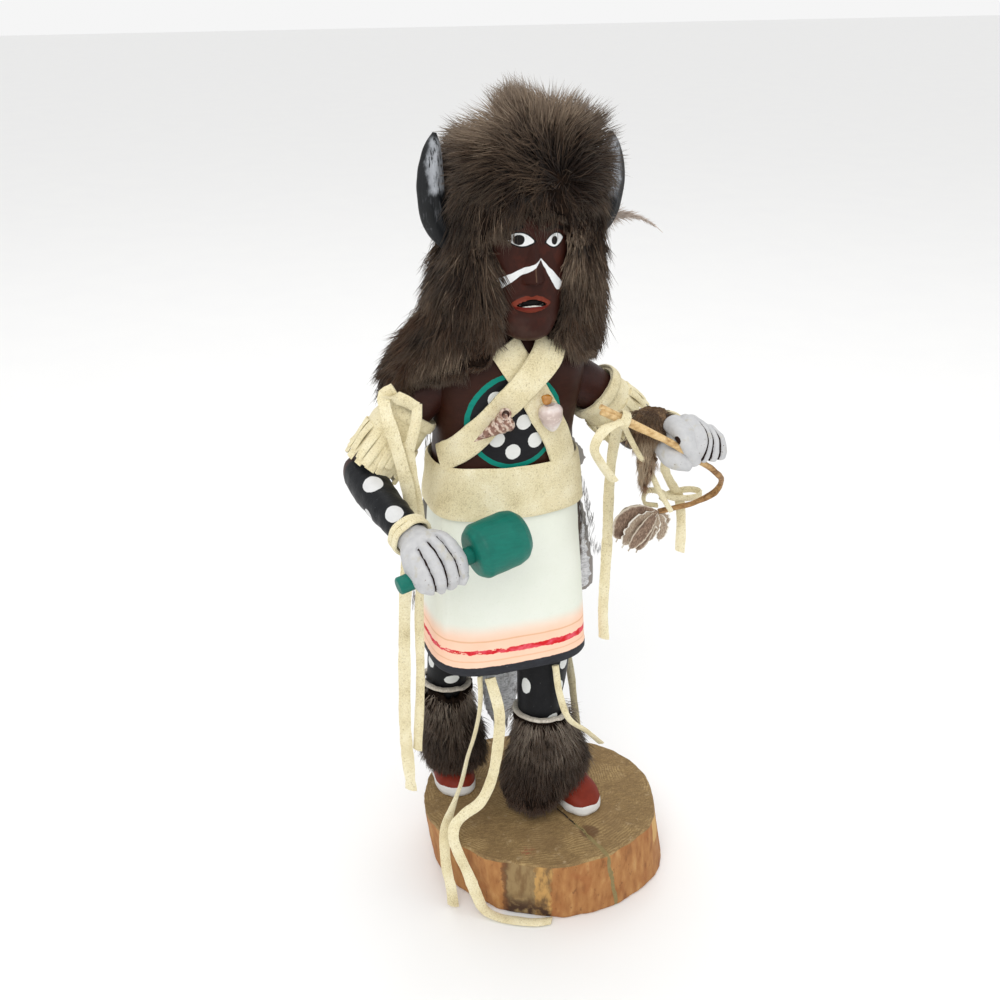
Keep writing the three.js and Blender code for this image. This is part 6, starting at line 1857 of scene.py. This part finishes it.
# ---- feathers ----
def feather(points, width, seed, split):
    """A vane with a quill, facing the front, its edges cut into barbs."""
    rng = np.random.default_rng(seed)
    curve = Route(points)
    count = 46
    s = np.linspace(0, 1, count)
    at, dir_, across, through = frame_on(curve, s, np.cross(curve.tangent([0.5])[0], (0, -1, 0)))
    half = width / 2 * np.clip(np.sin(np.clip(s * 1.08, 0, 1) * math.pi) ** 0.55, 0.03, 1)
    u = np.linspace(-1, 1, 13)
    cuts = np.arange(0, count + 4, 2)
    left, right = (np.interp(np.arange(count), cuts, rng.uniform(0.55, 1.0, len(cuts)))[:, None]
                   for _ in range(2))
    faces = []
    for face, us in ((1, u), (-1, u[::-1])):
        reach = np.abs(us)[None, :]
        w = us[None, :] * half[:, None] * (1 - split * (1 - np.where(us[None, :] > 0, right, left)) * reach)
        sweep = reach * half[:, None] * 0.55
        thick = (0.16 + 0.32 * np.exp(-(us[None, :] / 0.14) ** 2)) * face
        cup = -0.16 * half[:, None] * reach ** 2
        faces.append(at[:, None] + across[:, None] * w[..., None] + dir_[:, None] * sweep[..., None]
                     + through[:, None] * (thick + cup)[..., None])
    return net(np.concatenate(faces, 1), edge=np.abs(np.concatenate([u, u[::-1]]))[None], length=s[:, None])


def feather_material(name, base, dark, white):
    m = Mat(name)
    barbs = m.noise(0.35, 3, 0.6, (1, 1, 3))
    colour = m.mix(m.span(barbs, 0.35, 0.65), base, dark)
    colour = m.mix(m.span(m.noise(5, 3), 0.5, 0.7), colour, dark)
    colour = m.mix(m.span(m.plus(m.attr("edge"), m.times(m.noise(1.2), 0.3)), 0.85, 1.1), colour, white)
    colour = m.mix(m.span(m.attr("length"), 0.85, 1.0, 0, 0.6), colour, white)
    m.bump(barbs, 0.15, 0.6)
    return m.finish(colour, 0.75)


BROWN_VANE = feather_material("brown_feather", rgb(150, 126, 106), rgb(96, 74, 60), rgb(200, 188, 170))
PALE_VANE = feather_material("pale_feather", rgb(176, 160, 140), rgb(128, 108, 90), rgb(232, 228, 218))
BUNCH = [   # tip, bow of the middle, width, and whether it is pale
    ((36.6, -28.6, 165.2), (-4.5, -0.4, 4.4), 10.5, False),
    ((38.8, -29.6, 162.8), (-2.2, -1.6, 3.2), 8, True),
    ((41.2, -30.4, 161.4), (-0.4, -2.2, 1.8), 6.5, False),
    ((45.2, -29.4, 159.6), (-0.6, -1.2, 0.8), 6.5, False),
    ((49.6, -28.6, 163), (1.2, -0.6, 0.4), 6, True),
    ((55.6, -28.2, 162.4), (1.6, -0.8, -0.4), 6.5, True),
    ((58.2, -27.6, 168.6), (1.8, -0.6, -0.6), 5.5, True),
    ((35.4, -28, 170.6), (-3, 0, 3.4), 6, False),
]


def bunch_feather(number):
    tip, bow_out, wide, pale = BUNCH[number]
    root = np.array([54.8 - 0.2 * number, -28.4 + 0.25 * number, 175.8])
    middle = (root + np.array(tip)) / 2 + np.array(bow_out)
    return feather([root, middle, np.array(tip)], wide, 301 + number, 0.7 if pale else 0.35)


def bunch(pale):
    return join([bunch_feather(k) for k, row in enumerate(BUNCH) if row[3] == pale])


make("bow_feather_bunch", bunch(False), BROWN_VANE, ["bow_feathers"], crease=60)
make("bow_feather_pale", bunch(True), PALE_VANE, crease=60)

# Downy wisp at the side of the head.
WISP_HAIRS = 500
QUILL = Route([(36, 6, 286), (45, 4.4, 287.4), (54, 3.4, 286.4), (61.4, 3, 283), (65.6, 3, 279.6)])


def wisp_shape():
    rng = np.random.default_rng(311)
    start = rng.uniform(0, 1, WISP_HAIRS) ** 1.5
    spread = rng.normal(0, 1, (WISP_HAIRS, 3)) * [0.4, 0.25, 0.75] * ((1 - start) ** 1.6)[:, None]
    flow = QUILL.tangent(start * 0.8) * 1.4 + spread
    paths = hair_paths(QUILL.at(start * 0.8), flow, 9.5 * (1 - 0.65 * start), 0.3, 312, 3, 0.1, 0.5)
    shade = np.clip(rng.normal(0.75, 0.15, WISP_HAIRS), 0, 1)
    stem = limb(QUILL, [(0, 0.35, 0.35, 2), (1, 0.12, 0.12, 2)], np.linspace(0, 1, 60), around(8),
                side=(0, 0.3, 1))
    return (hair_mesh(paths, np.full(WISP_HAIRS, 0.28), 313, shade=shade, warmth=np.zeros(WISP_HAIRS))
            + net(stem, tip=0.7, shade=0.8))


WISP = fur_material("wisp_down", rgb(150, 134, 122), rgb(186, 170, 158), rgb(216, 204, 194),
                    rgb(160, 130, 110))
make("hair_feather_wisp", wisp_shape(), WISP, ["hair_feather"])
